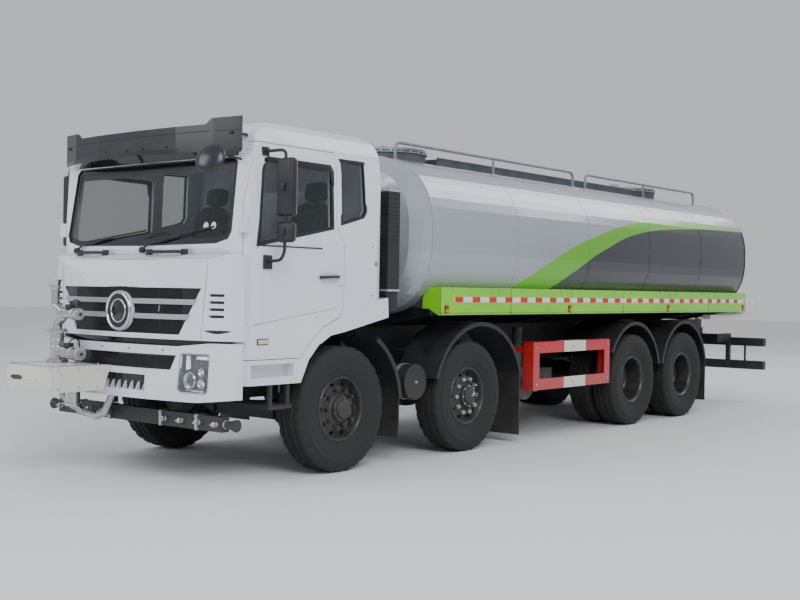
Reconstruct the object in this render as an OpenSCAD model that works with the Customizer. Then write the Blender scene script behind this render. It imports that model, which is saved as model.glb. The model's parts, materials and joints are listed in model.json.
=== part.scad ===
// Eight-by-four water tanker: cab over engine, twin steered front axles, tandem driven rear axles,
// a rounded tank with side lockers, and a front spray bar with its valve box.
// Millimetres. +Z is up, the front faces -Y, the truck's left is +X, and it stands on z = 0.
// Inside the modules y is measured back from the first axle; place() moves it to the part's origin.

/* [Chassis] */
// First axle to second axle
axle_gap_1 = 1850; // [1700:10:2200]
// Second axle to third axle
axle_gap_2 = 3300; // [2900:10:4200]
// Third axle to fourth axle
axle_gap_3 = 1350; // [1300:10:1500]
// Outside width over the two frame rails
frame_w = 860; // [760:10:920]
// Height of a frame rail
rail_h = 300; // [220:10:320]
// Top of the frame rails above the ground
rail_top = 1090; // [1060:5:1130]
// Thickness of the rail's web and flanges
rail_t = 10; // [6:1:14]
// Width of the rail's flanges
rail_flange = 80; // [60:5:90]
// First axle to the front end of the rails
front_overhang = 1300; // [1200:10:1340]
// Fourth axle to the rear end of the rails
rear_overhang = 2350; // [2200:10:2700]

/* [Wheels] */
// Outside diameter of a tyre
tyre_d = 1085; // [960:5:1100]
// Width of a tyre
tyre_w = 293; // [240:1:300]
// Radius where the tyre sits on its rim
bead_r = 258; // [240:1:270]
// Width over the outer faces of the front tyres
front_width = 2380; // [2340:5:2420]
// Width over the outer faces of the rear tyres
rear_width = 2500; // [2470:5:2540]
// Gap between twin tyres
twin_gap = 35; // [25:1:60]
// Distance of the kingpins from the middle plane
kingpin_x = 900; // [890:5:910]
// Radius of a front spindle
spindle_r = 35; // [28:1:42]
// Radius of a rear spindle
rear_spindle_r = 50; // [40:1:60]
// Radius of a kingpin
kingpin_r = 25; // [20:1:30]

/* [Cab] */
// Width of the cab at its belt
cab_w = 2440; // [2380:10:2480]
// Height of the cab's roof above the ground
cab_top = 2975; // [2900:5:3100]
// Height of the cab's floor
floor_z = 1270; // [1260:5:1310]
// Thickness of the cab's walls and doors
wall = 55; // [40:1:70]
// Thickness of a window pane
glass_t = 6; // [4:1:8]
// Gap round a door
door_gap = 6; // [5:1:9]

/* [Tank] */
// Width of the tank
tank_w = 2500; // [2300:10:2500]
// Height of the tank
tank_h = 1610; // [1400:10:1700]
// Height of the tank's middle above the ground
tank_mid_z = 2090; // [2090:5:2200]
// First axle to the front seam of the tank
tank_front = 1120; // [1060:10:1200]
// Length of the tank's straight shell
tank_len = 7290; // [6800:10:7600]
// Depth of the dished ends
tank_dish = 270; // [150:5:320]
// How square the tank's section is
tank_square = 2.7; // [2.2:0.1:3.4]
// Radius of a manhole's collar
manhole_r = 400; // [300:10:420]

/* [Equipment] */
// Length of the side guards
guard_len = 1630; // [1200:10:1700]
// Height of the side guards
guard_h = 510; // [350:10:560]
// Width of the members of a side guard
guard_bar = 118; // [80:1:140]
// Width of the front spray bar
spray_w = 2140; // [1600:10:2300]
// Diameter of the top rails' tube
handrail_d = 34; // [25:1:45]
// Pitch circle of the rear outlet's bolts
outlet_pcd = 145; // [120:1:180]
// Radius of the rear outlet's bolt holes
outlet_bolt_r = 9; // [6:0.5:11]
// Radius of the towing pin's hole
tow_r = 20; // [12:1:26]

/* [Hidden] */

fit = 0.08;                      // radial clearance of a running fit
seat = 0.3;                      // clearance of a seat
axle_1 = 0;
axle_2 = axle_gap_1;
axle_3 = axle_2 + axle_gap_2;
axle_4 = axle_3 + axle_gap_3;
wheel_z = tyre_d / 2;            // height of every axle
front_x = (front_width - tyre_w) / 2;        // middle plane of a front wheel
twin_pitch = tyre_w + twin_gap;
rear_x = (rear_width - tyre_w - twin_pitch) / 2;  // joint plane of twin rims
rail_x = frame_w / 2;
rail_low = rail_top - rail_h;
rail_front = axle_1 - front_overhang;
rail_rear = axle_4 + rear_overhang;
sub_h = 120;                     // height of the subframe's longerons
cab_x = cab_w / 2;
cab_front = -1200;               // front of the cab's side, at the door's seam
cab_rear = 430;
door_rear = -60;
sill_z = 1000;                   // bottom of the doors
skirt_z = 800;                   // bottom of the cab's skirts
panel_front = -1455;             // front of the nose panel
bumper_front = -1500;
spray_y = -1250;
valve_front = -2050;
valve_x = [-700, -66];
shell_rear = tank_front + tank_len;
bars_rear = axle_4 + 2860;       // rear face of the underrun bars
origin_y = (valve_front + bars_rear) / 2;

// Half width of the tank's section, grown by c, at a height z above the ground
function tank_half_w(z, c = 0) =
  (tank_w / 2 + c) * pow(1 - pow(min(1, abs(z - tank_mid_z) / (tank_h / 2 + c)), tank_square),
    1 / tank_square);
// Height of the tank's upper (side = 1) or lower (side = -1) surface at x
function tank_z(x, side, c = 0) = tank_mid_z
  + side * (tank_h / 2 + c) * pow(1 - pow(min(1, abs(x) / (tank_w / 2 + c)), tank_square), 1 / tank_square);
function sgn_pow(v, p) = sign(v) * pow(abs(v), p);
// One ring of the tank's section, scaled by s
function section(s = 1, c = 0, steps = 56) = [for (i = [0 : steps - 1])
  [(tank_w / 2 * s + c) * sgn_pow(cos(360 * i / steps), 2 / tank_square),
   (tank_h / 2 * s + c) * sgn_pow(sin(360 * i / steps), 2 / tank_square)]];
// Points of an elliptic arc about (cy, cz) from angle a0 to a1
function arc(cy, cz, ry, rz, a0, a1, steps) =
  [for (i = [0 : steps]) let (a = a0 + (a1 - a0) * i / steps) [cy + ry * cos(a), cz + rz * sin(a)]];
function reversed(v) = [for (i = [len(v) - 1 : -1 : 0]) v[i]];
function mirrored(v) = [for (p = reversed(v)) [-p[0], p[1]]];

module place() translate([0, -origin_y, 0]) children();
module both_sides() { children(); mirror([1, 0, 0]) children(); }
module block(x, y, z) translate([x[0], y[0], z[0]]) cube([x[1] - x[0], y[1] - y[0], z[1] - z[0]]);
// A side outline of (y, z) points, pulled from x[0] to x[1]
module side_plate(x, points)
  translate([x[0], 0, 0]) rotate([90, 0, 90]) linear_extrude(x[1] - x[0]) polygon(points);
// A front outline of (x, z) points, pulled from y[0] to y[1]
module front_plate(y, points)
  translate([0, y[1], 0]) rotate([90, 0, 0]) linear_extrude(y[1] - y[0]) polygon(points);
// A top outline of (x, y) points, pulled from z[0] to z[1]
module top_plate(z, points) translate([0, 0, z[0]]) linear_extrude(z[1] - z[0]) polygon(points);
module disc_x(x, y, z, r) translate([x[0], y, z]) rotate([0, 90, 0]) cylinder(r = r, h = x[1] - x[0],
  $fn = 64);
// A round bar between two points
module rod(p, q, r) {
  v = q - p;
  translate(p) rotate([0, acos(v[2] / norm(v)), atan2(v[1], v[0])])
    cylinder(r = r, h = norm(v), $fn = 24);
}
// A round tube along a list of points, with ball corners
module pipe(points, r) {
  for (i = [1 : len(points) - 1]) rod(points[i - 1], points[i], r);
  for (i = [1 : len(points) - 2]) translate(points[i]) sphere(r = r * 1.04, $fn = 24);
}
// The tank's section as a straight bar, grown by c
module tank_bar(c, y) translate([0, 0, tank_mid_z]) front_plate(y, section(1, c));

// ---- chassis ----
module rail() {
  block([rail_x - rail_t, rail_x], [rail_front, rail_rear], [rail_low, rail_top]);
  for (z = [rail_low, rail_top - rail_t])
    block([rail_x - rail_flange, rail_x - rail_t], [rail_front, rail_rear], [z, z + rail_t]);
}
cross_y = [rail_front, 850, 2600, 4300, axle_3 + axle_gap_3 / 2 - 60, 7500, rail_rear - 120];
cross_low = rail_top - 180;
module frame() color("#23252a") {
  both_sides() rail();
  inner = rail_x - rail_t;
  for (y = cross_y) block([-inner, inner], [y, y + 120], [cross_low, rail_top - rail_t]);
  // cab mounts
  both_sides() for (y = [-1000, 290])
    block([rail_x - rail_flange, rail_x], [y, y + 90], [rail_top, floor_z - 60 - seat]);
  // bumper arms
  both_sides() block([rail_x - rail_t, rail_x + 60], [bumper_back(rail_x + 60) + seat, rail_front + 200],
    [rail_low, rail_low + 90]);
  // hangers of the spray bar
  both_sides() block([rail_x - rail_t, rail_x], [spray_y + 20, spray_y + 110], [560 + seat, rail_low]);
  // towing jaw at the rear
  difference() {
    for (z = [cross_low, cross_low + 90])
      block([-60, 60], [rail_rear - 1, rail_rear + 110], [z, z + 30]);
    translate([0, rail_rear + 60, cross_low - 1]) cylinder(r = tow_r, h = 122, $fn = 48);
  }
}

sub_top = rail_top + sub_h;
cradle_y = [1300, 2500, 3700, 4900, 6100, 7300, 8200];
cradle_rise = [for (i = [0 : 12]) let (x = 820 * i / 12) [x, tank_z(x, -1, -15)]];
cradle_half = concat(cradle_rise, [[1036, 1400 - seat], [1095, 1400 - seat], [1095, 1340],
  [rail_x, sub_top]]);
module subframe() color("#2b2d31") {
  both_sides() block([rail_x - rail_flange, rail_x], [1000, rail_rear - 50], [rail_top + seat, sub_top]);
  difference() {
    for (y = cradle_y) front_plate([y, y + 70], concat(cradle_half, mirrored(cradle_half)));
    tank_bar(seat, [tank_front, shell_rear]);
  }
}

module engine() color("#3a3d40") {
  block([-330, 330], [-900, 560], [600, 1400]);
  both_sides() for (y = [-760, 420]) block([329, rail_x - 10], [y, y + 90],
    [rail_top + seat, rail_top + 60]);
}

hanger_y = cross_y[2] + 20;
pinion_l = 258;                  // half length of a rear axle's pinion housing
module driveline() color("#33363a") {
  block([-190, 190], [560 + seat, 820], [560, 880]);
  translate([0, 820, 700]) rotate([-90, 0, 0]) cylinder(r1 = 170, r2 = 110, h = 560, $fn = 48);
  rod([0, 1370, 700], [0, hanger_y + 40, 670], 55);
  block([-60, 60], [hanger_y, hanger_y + 80], [620, cross_low - seat]);
  rod([0, hanger_y + 40, 670], [0, axle_3 - pinion_l - 40, wheel_z], 55);
  rod([0, axle_3 - pinion_l - 50, wheel_z], [0, axle_3 - pinion_l - seat, wheel_z], 62);
  rod([0, axle_3 + pinion_l + seat, wheel_z], [0, axle_4 - pinion_l - seat, wheel_z], 50);
}

beam_top = wheel_z - 40;
beam_low = beam_top - 110;
eye_h = 90;
beam_half = [[0, beam_low], [420, beam_low], [560, beam_low + 60],
  [kingpin_x - 80, wheel_z - eye_h / 2], [kingpin_x, wheel_z - eye_h / 2],
  [kingpin_x, wheel_z + eye_h / 2], [640, beam_top + 60], [480, beam_top], [0, beam_top]];
module front_axle() difference() {
  union() {
    front_plate([-55, 55], concat(beam_half, mirrored(beam_half)));
    both_sides() translate([kingpin_x, 0, wheel_z - eye_h / 2])
      cylinder(r = kingpin_r + 28, h = eye_h, $fn = 48);
  }
  both_sides() translate([kingpin_x, 0, 0]) cylinder(r = kingpin_r + fit, h = tyre_d, $fn = 64);
}
spindle_end = rear_x + 118;
axle_tube_r = 78;
module rear_axle() translate([0, 0, wheel_z]) {
  rotate([0, 90, 0]) translate([0, 0, -650]) cylinder(r = axle_tube_r, h = 1300, $fn = 48);
  rotate([0, 90, 0]) translate([0, 0, -spindle_end]) cylinder(r = rear_spindle_r, h = 2 * spindle_end,
    $fn = 64);
  rotate([0, 0, 45]) sphere(r = 200, $fn = 48);
  rotate([90, 0, 0]) translate([0, 0, -pinion_l]) cylinder(r = 95, h = 2 * pinion_l, $fn = 48);
}
module axles() color("#26282c") {
  for (y = [axle_1, axle_2]) translate([0, y, 0]) front_axle();
  for (y = [axle_3, axle_4]) translate([0, y, 0]) rear_axle();
}

// A pack of leaves of half length l, whose ends rise by rise, as one stepped outline
function leaf_z(x, l, rise) = rise * pow(x / l, 2);
function leaf_steps(l, rise, t, count) = [for (i = [0 : count - 1])
  let (x = l * (1 - 0.15 * i), z = leaf_z(x, l, rise) - t * i) each [[x, z], [x, z - t]]];
module leaves(l, rise, t, count, width) {
  steps = leaf_steps(l, rise, t, count);
  top = [for (k = [-5 : 5]) [l * k / 6, leaf_z(l * k / 6, l, rise)]];
  side_plate([-width / 2, width / 2], concat(top, steps, [for (p = reversed(steps)) [-p[0], p[1]]]));
}
leaf_t = 14;
spring_x = rail_x - 5;
spring_z = beam_top + 5 * leaf_t + seat;
module leaf_springs() color("#1f2124") both_sides() {
  for (y = [axle_1, axle_2]) translate([spring_x, y, 0]) {
    translate([0, 0, spring_z]) leaves(700, 70, leaf_t, 5, 80);
    for (s = [0, 1]) mirror([0, s, 0]) {
      block([-38, 38], [640, 700], [spring_z + 50, rail_low - seat]);
      block([-45, -15], [55 + seat, 80], [beam_low + 10, spring_z + 20]);
    }
    block([-45, 45], [-80, 80], [spring_z - 1, spring_z + 24]);
  }
  // balancing spring over the tandem, on its trunnion block
  mid = (axle_3 + axle_4) / 2;
  translate([rail_x + 70, mid, wheel_z + axle_tube_r + 60 + seat]) mirror([0, 0, 1])
    leaves(axle_gap_3 / 2 + 5, 60, leaf_t, 6, 90);
  block([rail_x + seat, rail_x + 130], [mid - 110, mid + 110], [wheel_z + 145, rail_low + 140]);
}

// ---- cab ----
// Outlines of the cab, drawn in by t
function cab_side(t) = [[cab_front + t, skirt_z], [cab_front + t, 1800], [-1235 + t, 1880],
  [-1130 + t, 2620], [-1045 + t, 2790 - t / 2], [-860 + t / 2, 2905 - t], [-500, cab_top - 15 - t],
  [100, cab_top - t], [330, cab_top - 35 - t], [cab_rear - 20 - t, cab_top - 105 - t],
  [cab_rear - t, cab_top - 180 - t], [cab_rear - t, skirt_z]];
function cab_plan_half(t) = [[0, -1262 + t], [700, -1250 + t], [1040 - t / 2, -1228 + t],
  [1130 - t / 2, -1195 + t], [cab_x - 30 - t, -1130 + t / 2], [cab_x - t, -1040],
    [cab_x - t, cab_rear - 60],
  [cab_x - 25 - t, cab_rear - t], [0, cab_rear - t]];
function cab_nose_half(t) = [[0, cab_top - t], [780, cab_top - 22 - t], [1000, cab_top - 60 - t],
  [1110 - t / 2, cab_top - 125 - t / 2], [1165 - t, 2740], [1195 - t, 2560], [cab_x - t, 1950],
  [cab_x - t, 1300], [cab_x - 15 - t, skirt_z], [0, skirt_z]];
module cab_form(t) intersection() {
  side_plate([-cab_x, cab_x], cab_side(t));
  top_plate([skirt_z, cab_top], concat(mirrored(cab_plan_half(t)), cab_plan_half(t)));
  front_plate([-1300, cab_rear + 100], concat(mirrored(cab_nose_half(t)), cab_nose_half(t)));
}
module cab_room() intersection() {
  cab_form(wall);
  block([-cab_x, cab_x], [cab_front, cab_rear], [floor_z, cab_top]);
}
// Outline of a door, drawn in by g; its rear lower edge follows the wheel arch
arch_line = [[-110, 1330], [-300, 1250], [-430, 1150], [-520, 1060]];
function door_line(g) = concat([[-1175 + g, sill_z + g], [-1175 + g, 2230], [-1105 + g, 2725 - g],
  [-150 - g, 2725 - g], [-150 - g, 2120], [door_rear - g, 1960], [door_rear - g, 1420 + g]],
  [for (p = arch_line) [p[0] - g, p[1] + g]], [[-570 - g, sill_z + g]]);
// Outline of a door's window, drawn in by g
function door_window(g) = [[-1062 + g, 1915 + g], [-1005 + g, 2500 - g], [-975 + g, 2585 - g],
  [-225 - g, 2585 - g], [-205 - g, 2560 - g], [-205 - g, 2085 + g]];
function quarter_window(g) = [[-92 + g, 2125 + g], [-92 + g, 2665 - g], [215 - g, 2665 - g],
  [225 - g, 2250 + g], [190 - g, 2200 + g]];
function screen_half(g) = [[0, 1905 + g], [900 - g, 1915 + g], [1040 - g, 1950 + g],
  [1072 - g, 2010 + g], [1050 - g, 2560 - g], [1010 - g, 2600 - g], [0, 2610 - g]];
module at_side(points, deep = 130) both_sides() side_plate([cab_x - deep, cab_x + 10], points);
module windscreen_cut(g) front_plate([-1300, -1000], concat(mirrored(screen_half(g)), screen_half(g)));
module rear_window_cut(g) block([-520 + g, 520 - g], [cab_rear - 100, cab_rear + 10], [2080 + g, 2480 - g]);

arch_under = concat([[-600, skirt_z - 10]], [[-555, skirt_z], [-470, 984], [-344, 1114], [-220, 1180],
  [-47, 1208], [530, 1326]], [[600, 1326], [600, skirt_z - 10]]);
module cab_shell() color("#dfe3ea") {
  shell_body();
  hinge_pins();
}
module shell_body() difference() {
  union() {
    difference() {
      cab_form(0);
      cab_room();
    }
    // flared skirt behind the rear of the arch
    both_sides() intersection() {
      side_plate([cab_x - 150, cab_x + 6], [[-260, 1330], [330, 1470], [520, 1500], [532, 1330],
        [528, 1322], [-47, 1204],
        [-220, 1176], [-344, 1110], [-300, 1250]]);
      block([cab_x - 150, cab_x + 6], [-400, 600], [1100, 1520]);
    }
    // engine tunnel
    block([-450, 450], [-900, cab_rear - wall], [floor_z - 60, 1480]);
  }
  // underside between the skirts
  block([-860, 860], [cab_front - 100, cab_rear + 150], [skirt_z - 10, floor_z - 60]);
  // behind the cab
  block([-900, 900], [cab_rear, 700], [skirt_z, cab_top]);
  // wheel arches
  side_plate([-cab_x - 20, cab_x + 20], arch_under);
  // engine bay under the tunnel
  block([-400, 400], [-960, cab_rear + 10], [skirt_z, 1430]);
  at_side(door_line(0));
  at_side(quarter_window(0));
  windscreen_cut(0);
  rear_window_cut(0);
  // step recess in the skirt
  both_sides() block([cab_x - 110, cab_x + 20], [-1110, -640], [860, 965]);
}
hinge_x = cab_x;
hinge_y = -1175 + door_gap / 2;
// Hinge pins of the doors, standing in the front seams
module hinge_pins() both_sides() for (z = [1150, 2000]) {
  translate([hinge_x, hinge_y, z]) cylinder(r = door_gap / 2 - seat, h = 120, $fn = 24);
  block([hinge_x - 80, hinge_x], [-1200, hinge_y - 1], [z, z + 120]);
}
module pane() difference() { cab_form(18); cab_form(18 + glass_t); }
module cab_glass() color("#20262b", 0.5) {
  intersection() { pane(); at_side(quarter_window(seat)); }
  intersection() { pane(); windscreen_cut(seat); }
  intersection() { pane(); rear_window_cut(seat); }
}
module door() difference() {
  intersection() {
    difference() { cab_form(0); cab_form(wall); }
    side_plate([cab_x - 130, cab_x + 10], door_line(door_gap));
  }
  side_plate([cab_x - 140, cab_x + 20], door_window(0));
}
module door_pane() intersection() {
  pane();
  side_plate([cab_x - 140, cab_x + 20], door_window(seat));
}
mirror_x = 1414;
mirror_y = -975;
module mirrors() {
  foot = cab_x + seat;
  pipe([[foot + 10, mirror_y, 1780], [mirror_x - 40, mirror_y, 1790], [mirror_x, mirror_y, 1850],
    [mirror_x, mirror_y, 2630], [mirror_x - 40, mirror_y, 2650], [cab_x - 37.5, mirror_y, 2650]], 13);
  block([foot, foot + 18], [mirror_y - 45, mirror_y + 45], [1720, 1830]);
  block([mirror_x - 88, mirror_x + 88], [mirror_y - 20, mirror_y + 60], [2130, 2590]);
  block([mirror_x - 82, mirror_x + 82], [mirror_y - 20, mirror_y + 60], [1925, 2090]);
}

// Nose panel with its grille: plan and side outlines drawn in by t
function nose_plan_half(t) = [[0, panel_front + t], [450, panel_front + 20 + t], [880 - t / 3, -1372 + t],
  [1080 - t / 2, -1305 + t], [1170 - t, -1255 + t / 2], [1205 - t, cab_front - seat]];
function nose_side(t) = [[-1480 + t, 1150 - t], [-1480 + t, 1400], [panel_front + 15 + t, 1544],
  [-1405 + t, 1700 - t],
  [-1340 + t, 1790 - t], [-1275 + t / 2, 1830 - t], [-1225, 1832 - t],
  [cab_front - seat + t, 1790 - t], [cab_front - seat + t, 1150 - t]];
module nose_form(t) intersection() {
  top_plate([1150 - t, 1860], concat(mirrored(nose_plan_half(t)), nose_plan_half(t)));
  side_plate([-1240, 1240], nose_side(t));
}
grille_hole = [[-900, 1560], [900, 1560], [680, 1190], [-680, 1190]];
module nose_layer(t0, t1, z, half_w) difference() {
  intersection() {
    top_plate(z, concat(mirrored(nose_plan_half(t0)), nose_plan_half(t0)));
    front_plate([-1600, -1290], [[-half_w[1], z[1] + 1], [half_w[1], z[1] + 1], [half_w[0], z[0] - 1],
      [-half_w[0], z[0] - 1]]);
  }
  top_plate([z[0] - 5, z[1] + 5], concat(mirrored(nose_plan_half(t1)), nose_plan_half(t1)));
}
module front_panel() color("#dfe3ea") {
  difference() {
    nose_form(0);
    nose_form(28);
    front_plate([-1600, -1290], grille_hole);
    both_sides() for (i = [0 : 3]) block([960, 1090], [-1500, -1200], [1330 + 55 * i, 1352 + 55 * i]);
  }
  // mesh board, two bars and a round boss
  nose_layer(20, 27, [1182, 1568], [688, 912]);
  for (z = [1310, 1430]) nose_layer(-3, 24, [z, z + 40], [745 + (z - 1310) * 0.55,
    768 + (z - 1310) * 0.55]);
  translate([0, panel_front + 30, 1366]) rotate([90, 0, 0]) cylinder(r = 165, h = 42, $fn = 64);
}

function bumper_plan_half(t) = [[0, bumper_front + t], [400, bumper_front + 15 + t],
  [720, bumper_front + 60 + t],
  [1020 - t / 2, -1375 + t], [1150 - t, -1300 + t / 2], [1200 - t, -1255], [cab_x - t, -1215]];
// Where the bumper's inner face lies at x
function bumper_back(x) = lookup(x, bumper_plan_half(60));
lamp_hole = [[705, 765], [735, 735], [985, 735], [1005, 765], [1020, 1035], [1005, 1050], [760, 1050],
  [735, 1030]];
module bumper() color("#dfe3ea") difference() {
  intersection() {
    top_plate([660, 1135], concat(mirrored(bumper_plan_half(0)), bumper_plan_half(0)));
    front_plate([-1600, -1200], [[-cab_x, 700], [-900, 667], [900, 667], [cab_x, 700],
      [cab_x, 1132], [1000, 1132], [700, 1100], [-700, 1100], [-1000, 1132], [-cab_x, 1132]]);
  }
  top_plate([650, 1140], concat([[cab_x - 60, -1190]], [[-cab_x + 60, -1190]],
    mirrored(bumper_plan_half(60)), bumper_plan_half(60)));
  front_plate([-1600, -1300], [[-700, 1030], [700, 1030], [640, 912], [-640, 912]]);
  front_plate([-1600, -1300], [[-370, 860], [370, 860], [370, 733], [-370, 733]]);
  both_sides() front_plate([-1600, -1200], lamp_hole);
}
module headlamps() color("#c9ced4") intersection() {
  both_sides() translate([862, 0, 892]) scale(0.998) translate([-862, 0, -892]) front_plate([-1600,
    -1200], lamp_hole);
  difference() {
    top_plate([660, 1135], concat(mirrored(bumper_plan_half(6)), bumper_plan_half(6)));
    top_plate([650, 1140], concat(mirrored(bumper_plan_half(56)), bumper_plan_half(56)));
  }
}

function visor_half(t) = [[0, -1330 + t], [500, -1315 + t], [900, -1270 + t], [1150 - t, -1190 + t]];
module sun_visor() color("#4a4d57") {
  difference() {
    intersection() {
      top_plate([2600, 2930], concat(mirrored(visor_half(0)), visor_half(0)));
      front_plate([-1500, -1000], [[-1150, 2640], [0, 2665], [1150, 2640], [1150, 2910], [880, 2900],
        [820, 2855],
        [-820, 2855], [-880, 2900], [-1150, 2910]]);
    }
    top_plate([2590, 2940], concat([[1200, -1170], [-1200, -1170]], mirrored(visor_half(22)),
      visor_half(22)));
  }
  both_sides() for (x = [350, 1040]) block([x, x + 30], [x > 500 ? -1235 : -1310, -1056], [2770, 2790]);
}
module corner_mirror() color("#4a4d57") {
  pipe([[1080, -1137.5, 2580], [1085, -1190, 2582], [1110, -1330, 2590], [1150, -1500, 2560]], 10);
  translate([1150, -1520, 2545]) rotate([70, 0, 20]) cylinder(r = 125, h = 24, center = true, $fn = 64);
}

seat_x = 660;
module dashboard() color("#2c2f33") {
  side_plate([-1070, 1070], [[-1130, floor_z + seat], [-1130, 1790], [-1060, 1850], [-800, 1800],
    [-760, 1700],
    [-930, 1560], [-960, floor_z + seat]]);
  // steering column and wheel, on the truck's right
  rod([-seat_x, -860, 1690], [-seat_x, -640, 1905], 34);
  translate([-seat_x, -640, 1905]) rotate([45, 0, 0]) {
    translate([0, 0, -25]) cylinder(r = 50, h = 45, $fn = 48);
    rotate_extrude($fn = 64) translate([215, 0]) circle(r = 15, $fn = 24);
    for (a = [30, 150, 270]) rotate([0, 0, a]) translate([30, -18, -8]) cube([180, 36, 14]);
  }
}
module one_seat() {
  block([-240, 240], [-470, 30], [1640, 1760]);
  block([-180, 180], [-400, -40], [floor_z + seat, 1645]);
  side_plate([-240, 240], [[-30, 1700], [110, 1700], [220, 2330], [110, 2360]]);
  side_plate([-130, 130], [[115, 2350], [215, 2325], [245, 2520], [150, 2540]]);
}
module seats() color("#3b3f44") both_sides() translate([seat_x, 0, 0]) one_seat();

module cab_steps() color("#1d1f22") both_sides() {
  block([940, 1190], [-905, -640], [600, 628]);
  for (y = [-885, -690]) block([1150, 1180], [y, y + 30], [628, skirt_z - seat]);
  for (y = [-885, -790]) block([rail_x + seat, 960], [y, y + 30], [598, 626]);
  block([rail_x + seat, rail_x + 20], [-885, -760], [598, rail_low + 80]);
}
module air_intake() color("#1b1d20") {
  block([1040, 1195], [545, 705], [1560, 2470]);
  block([900, 1180], [545, 705], [1380, 1561]);
  rod([930, 625, 1400], [rail_x + 150, 625, 1130], 60);
  block([rail_x + seat, rail_x + 200], [565, 685], [1030, 1150]);
}

module spray_bar() color("#1c1d20") {
  block([-spray_w / 2, spray_w / 2], [spray_y - 40, spray_y + 40], [440, 560]);
  both_sides() block([rail_x - rail_t, rail_x], [spray_y + 20, spray_y + 40], [559, 560]);
  both_sides() {
    rod([spray_w / 2 - 1, spray_y, 500], [spray_w / 2 + 60, spray_y, 500], 30);
    translate([spray_w / 2 + 95, spray_y, 500]) rotate([0, 90, 0]) cylinder(r1 = 32, r2 = 50, h = 70,
      center = true, $fn = 32);
  }
}
plate_t = 8;
module valve_box() color("#d6d6cf") {
  difference() {
    block(valve_x, [valve_front, bumper_front - 60], [712, 918]);
    block([valve_x[0] + plate_t, valve_x[1] - plate_t], [valve_front + plate_t, bumper_front],
      [700, 918 - plate_t]);
  }
  // gusset plates back to the bumper, with an oblong slot
  for (x = [valve_x[0], valve_x[1] - plate_t]) difference() {
    side_plate([x, x + plate_t], [[bumper_front - 61, 712], [bumper_front - 61, 918],
      [bumper_front - seat, 918], [bumper_front - seat, 880]]);
    translate([x - 1, bumper_front - 70, 850]) rotate([0, 90, 0]) for (o = [0, 25])
      translate([0, o - 40, 0]) cylinder(r = 12, h = plate_t + 2, $fn = 24);
  }
}
pipe_x = -600;
pipe_y = -1640;
module water_pipes() color("#b9b4a8") {
  // riser on the valve box
  rod([pipe_x, pipe_y, 918 + seat], [pipe_x, pipe_y, 1200], 56);
  rod([pipe_x, pipe_y, 1190], [pipe_x, pipe_y, 1255], 40);
  pipe([[pipe_x, pipe_y, 1240], [pipe_x + 70, pipe_y, 1290], [pipe_x + 60, pipe_y, 1350],
    [pipe_x - 30, pipe_y, 1390],
    [pipe_x - 40, pipe_y, 1560]], 36);
  // actuators
  rod([pipe_x + 40, pipe_y, 1328], [pipe_x + 300, pipe_y, 1328], 42);
  rod([pipe_x, pipe_y, 1000], [pipe_x + 320, pipe_y, 1000], 48);
  // bend under the box, back to the frame's front member
  pipe([[-560, -1600, 910 - seat], [-560, -1600, 640], [-500, -1460, 500], [-400, -1375, 462],
    [-290, -1375, 500],
    [-215, -1360, 640], [-215, -1360, 985]], 34);
  rod([-215, -1360, 985], [-215, rail_front - seat, 985], 30);
  rod([-430, -1600, 560], [-430, -1600, 910 - seat], 62);
}

// ---- tank ----
dish_steps = 5;
ring_n = 56;
tank_top = tank_mid_z + tank_h / 2;
outlet_z = 1640;
outlet_face = shell_rear + tank_dish + 110;
outlet_t = 20;
outlet_r = 32.5;
// Offset and scale of the dish's ring k, from its seam to its tip
function dish_ring(k) = let (a = 90 * k / dish_steps) [tank_dish * sin(a), max(0.15, pow(cos(a), 0.6))];
tank_rings = concat(
  [for (k = [dish_steps : -1 : 0]) [tank_front - dish_ring(k)[0], dish_ring(k)[1]]],
  [for (k = [0 : dish_steps]) [shell_rear + dish_ring(k)[0], dish_ring(k)[1]]]);
module tank_body() {
  last = len(tank_rings) - 1;
  points = [for (r = tank_rings) for (p = section(r[1], 0, ring_n)) [p[0], r[0], tank_mid_z + p[1]]];
  walls = [for (k = [0 : last - 1]) for (i = [0 : ring_n - 1]) let (j = (i + 1) % ring_n)
    [k * ring_n + i, (k + 1) * ring_n + i, (k + 1) * ring_n + j, k * ring_n + j]];
  polyhedron(points, concat(walls, [[for (i = [0 : ring_n - 1]) i],
    [for (i = [ring_n - 1 : -1 : 0]) last * ring_n + i]]), convexity = 4);
}
module tank() color("#a9adb4") {
  tank_body();
  // outlet flange at the rear
  difference() {
    translate([0, outlet_face, outlet_z]) rotate([90, 0, 0]) {
      cylinder(r = outlet_r + 12, h = 150, $fn = 48);
      cylinder(r = outlet_pcd / 2 + 22, h = outlet_t, $fn = 64);
    }
    for (a = [45 : 90 : 315]) translate([outlet_pcd / 2 * cos(a), outlet_face + 1,
      outlet_z + outlet_pcd / 2 * sin(a)])
      rotate([90, 0, 0]) cylinder(r = outlet_bolt_r, h = outlet_t + 2, $fn = 32);
    translate([0, outlet_face + 1, outlet_z]) rotate([90, 0, 0]) cylinder(r = outlet_r, h = 71, $fn = 48);
  }
}
manholes = [tank_front + 830, shell_rear - 1250];
collar_top = tank_top + 105;
collar_t = 12;
lid_hinge_y = manhole_r + 38;    // hinge line behind a manhole's middle
lid_hinge_z = collar_top + 25;
lid_pin_r = 8;
deck_x = 330;
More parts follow.
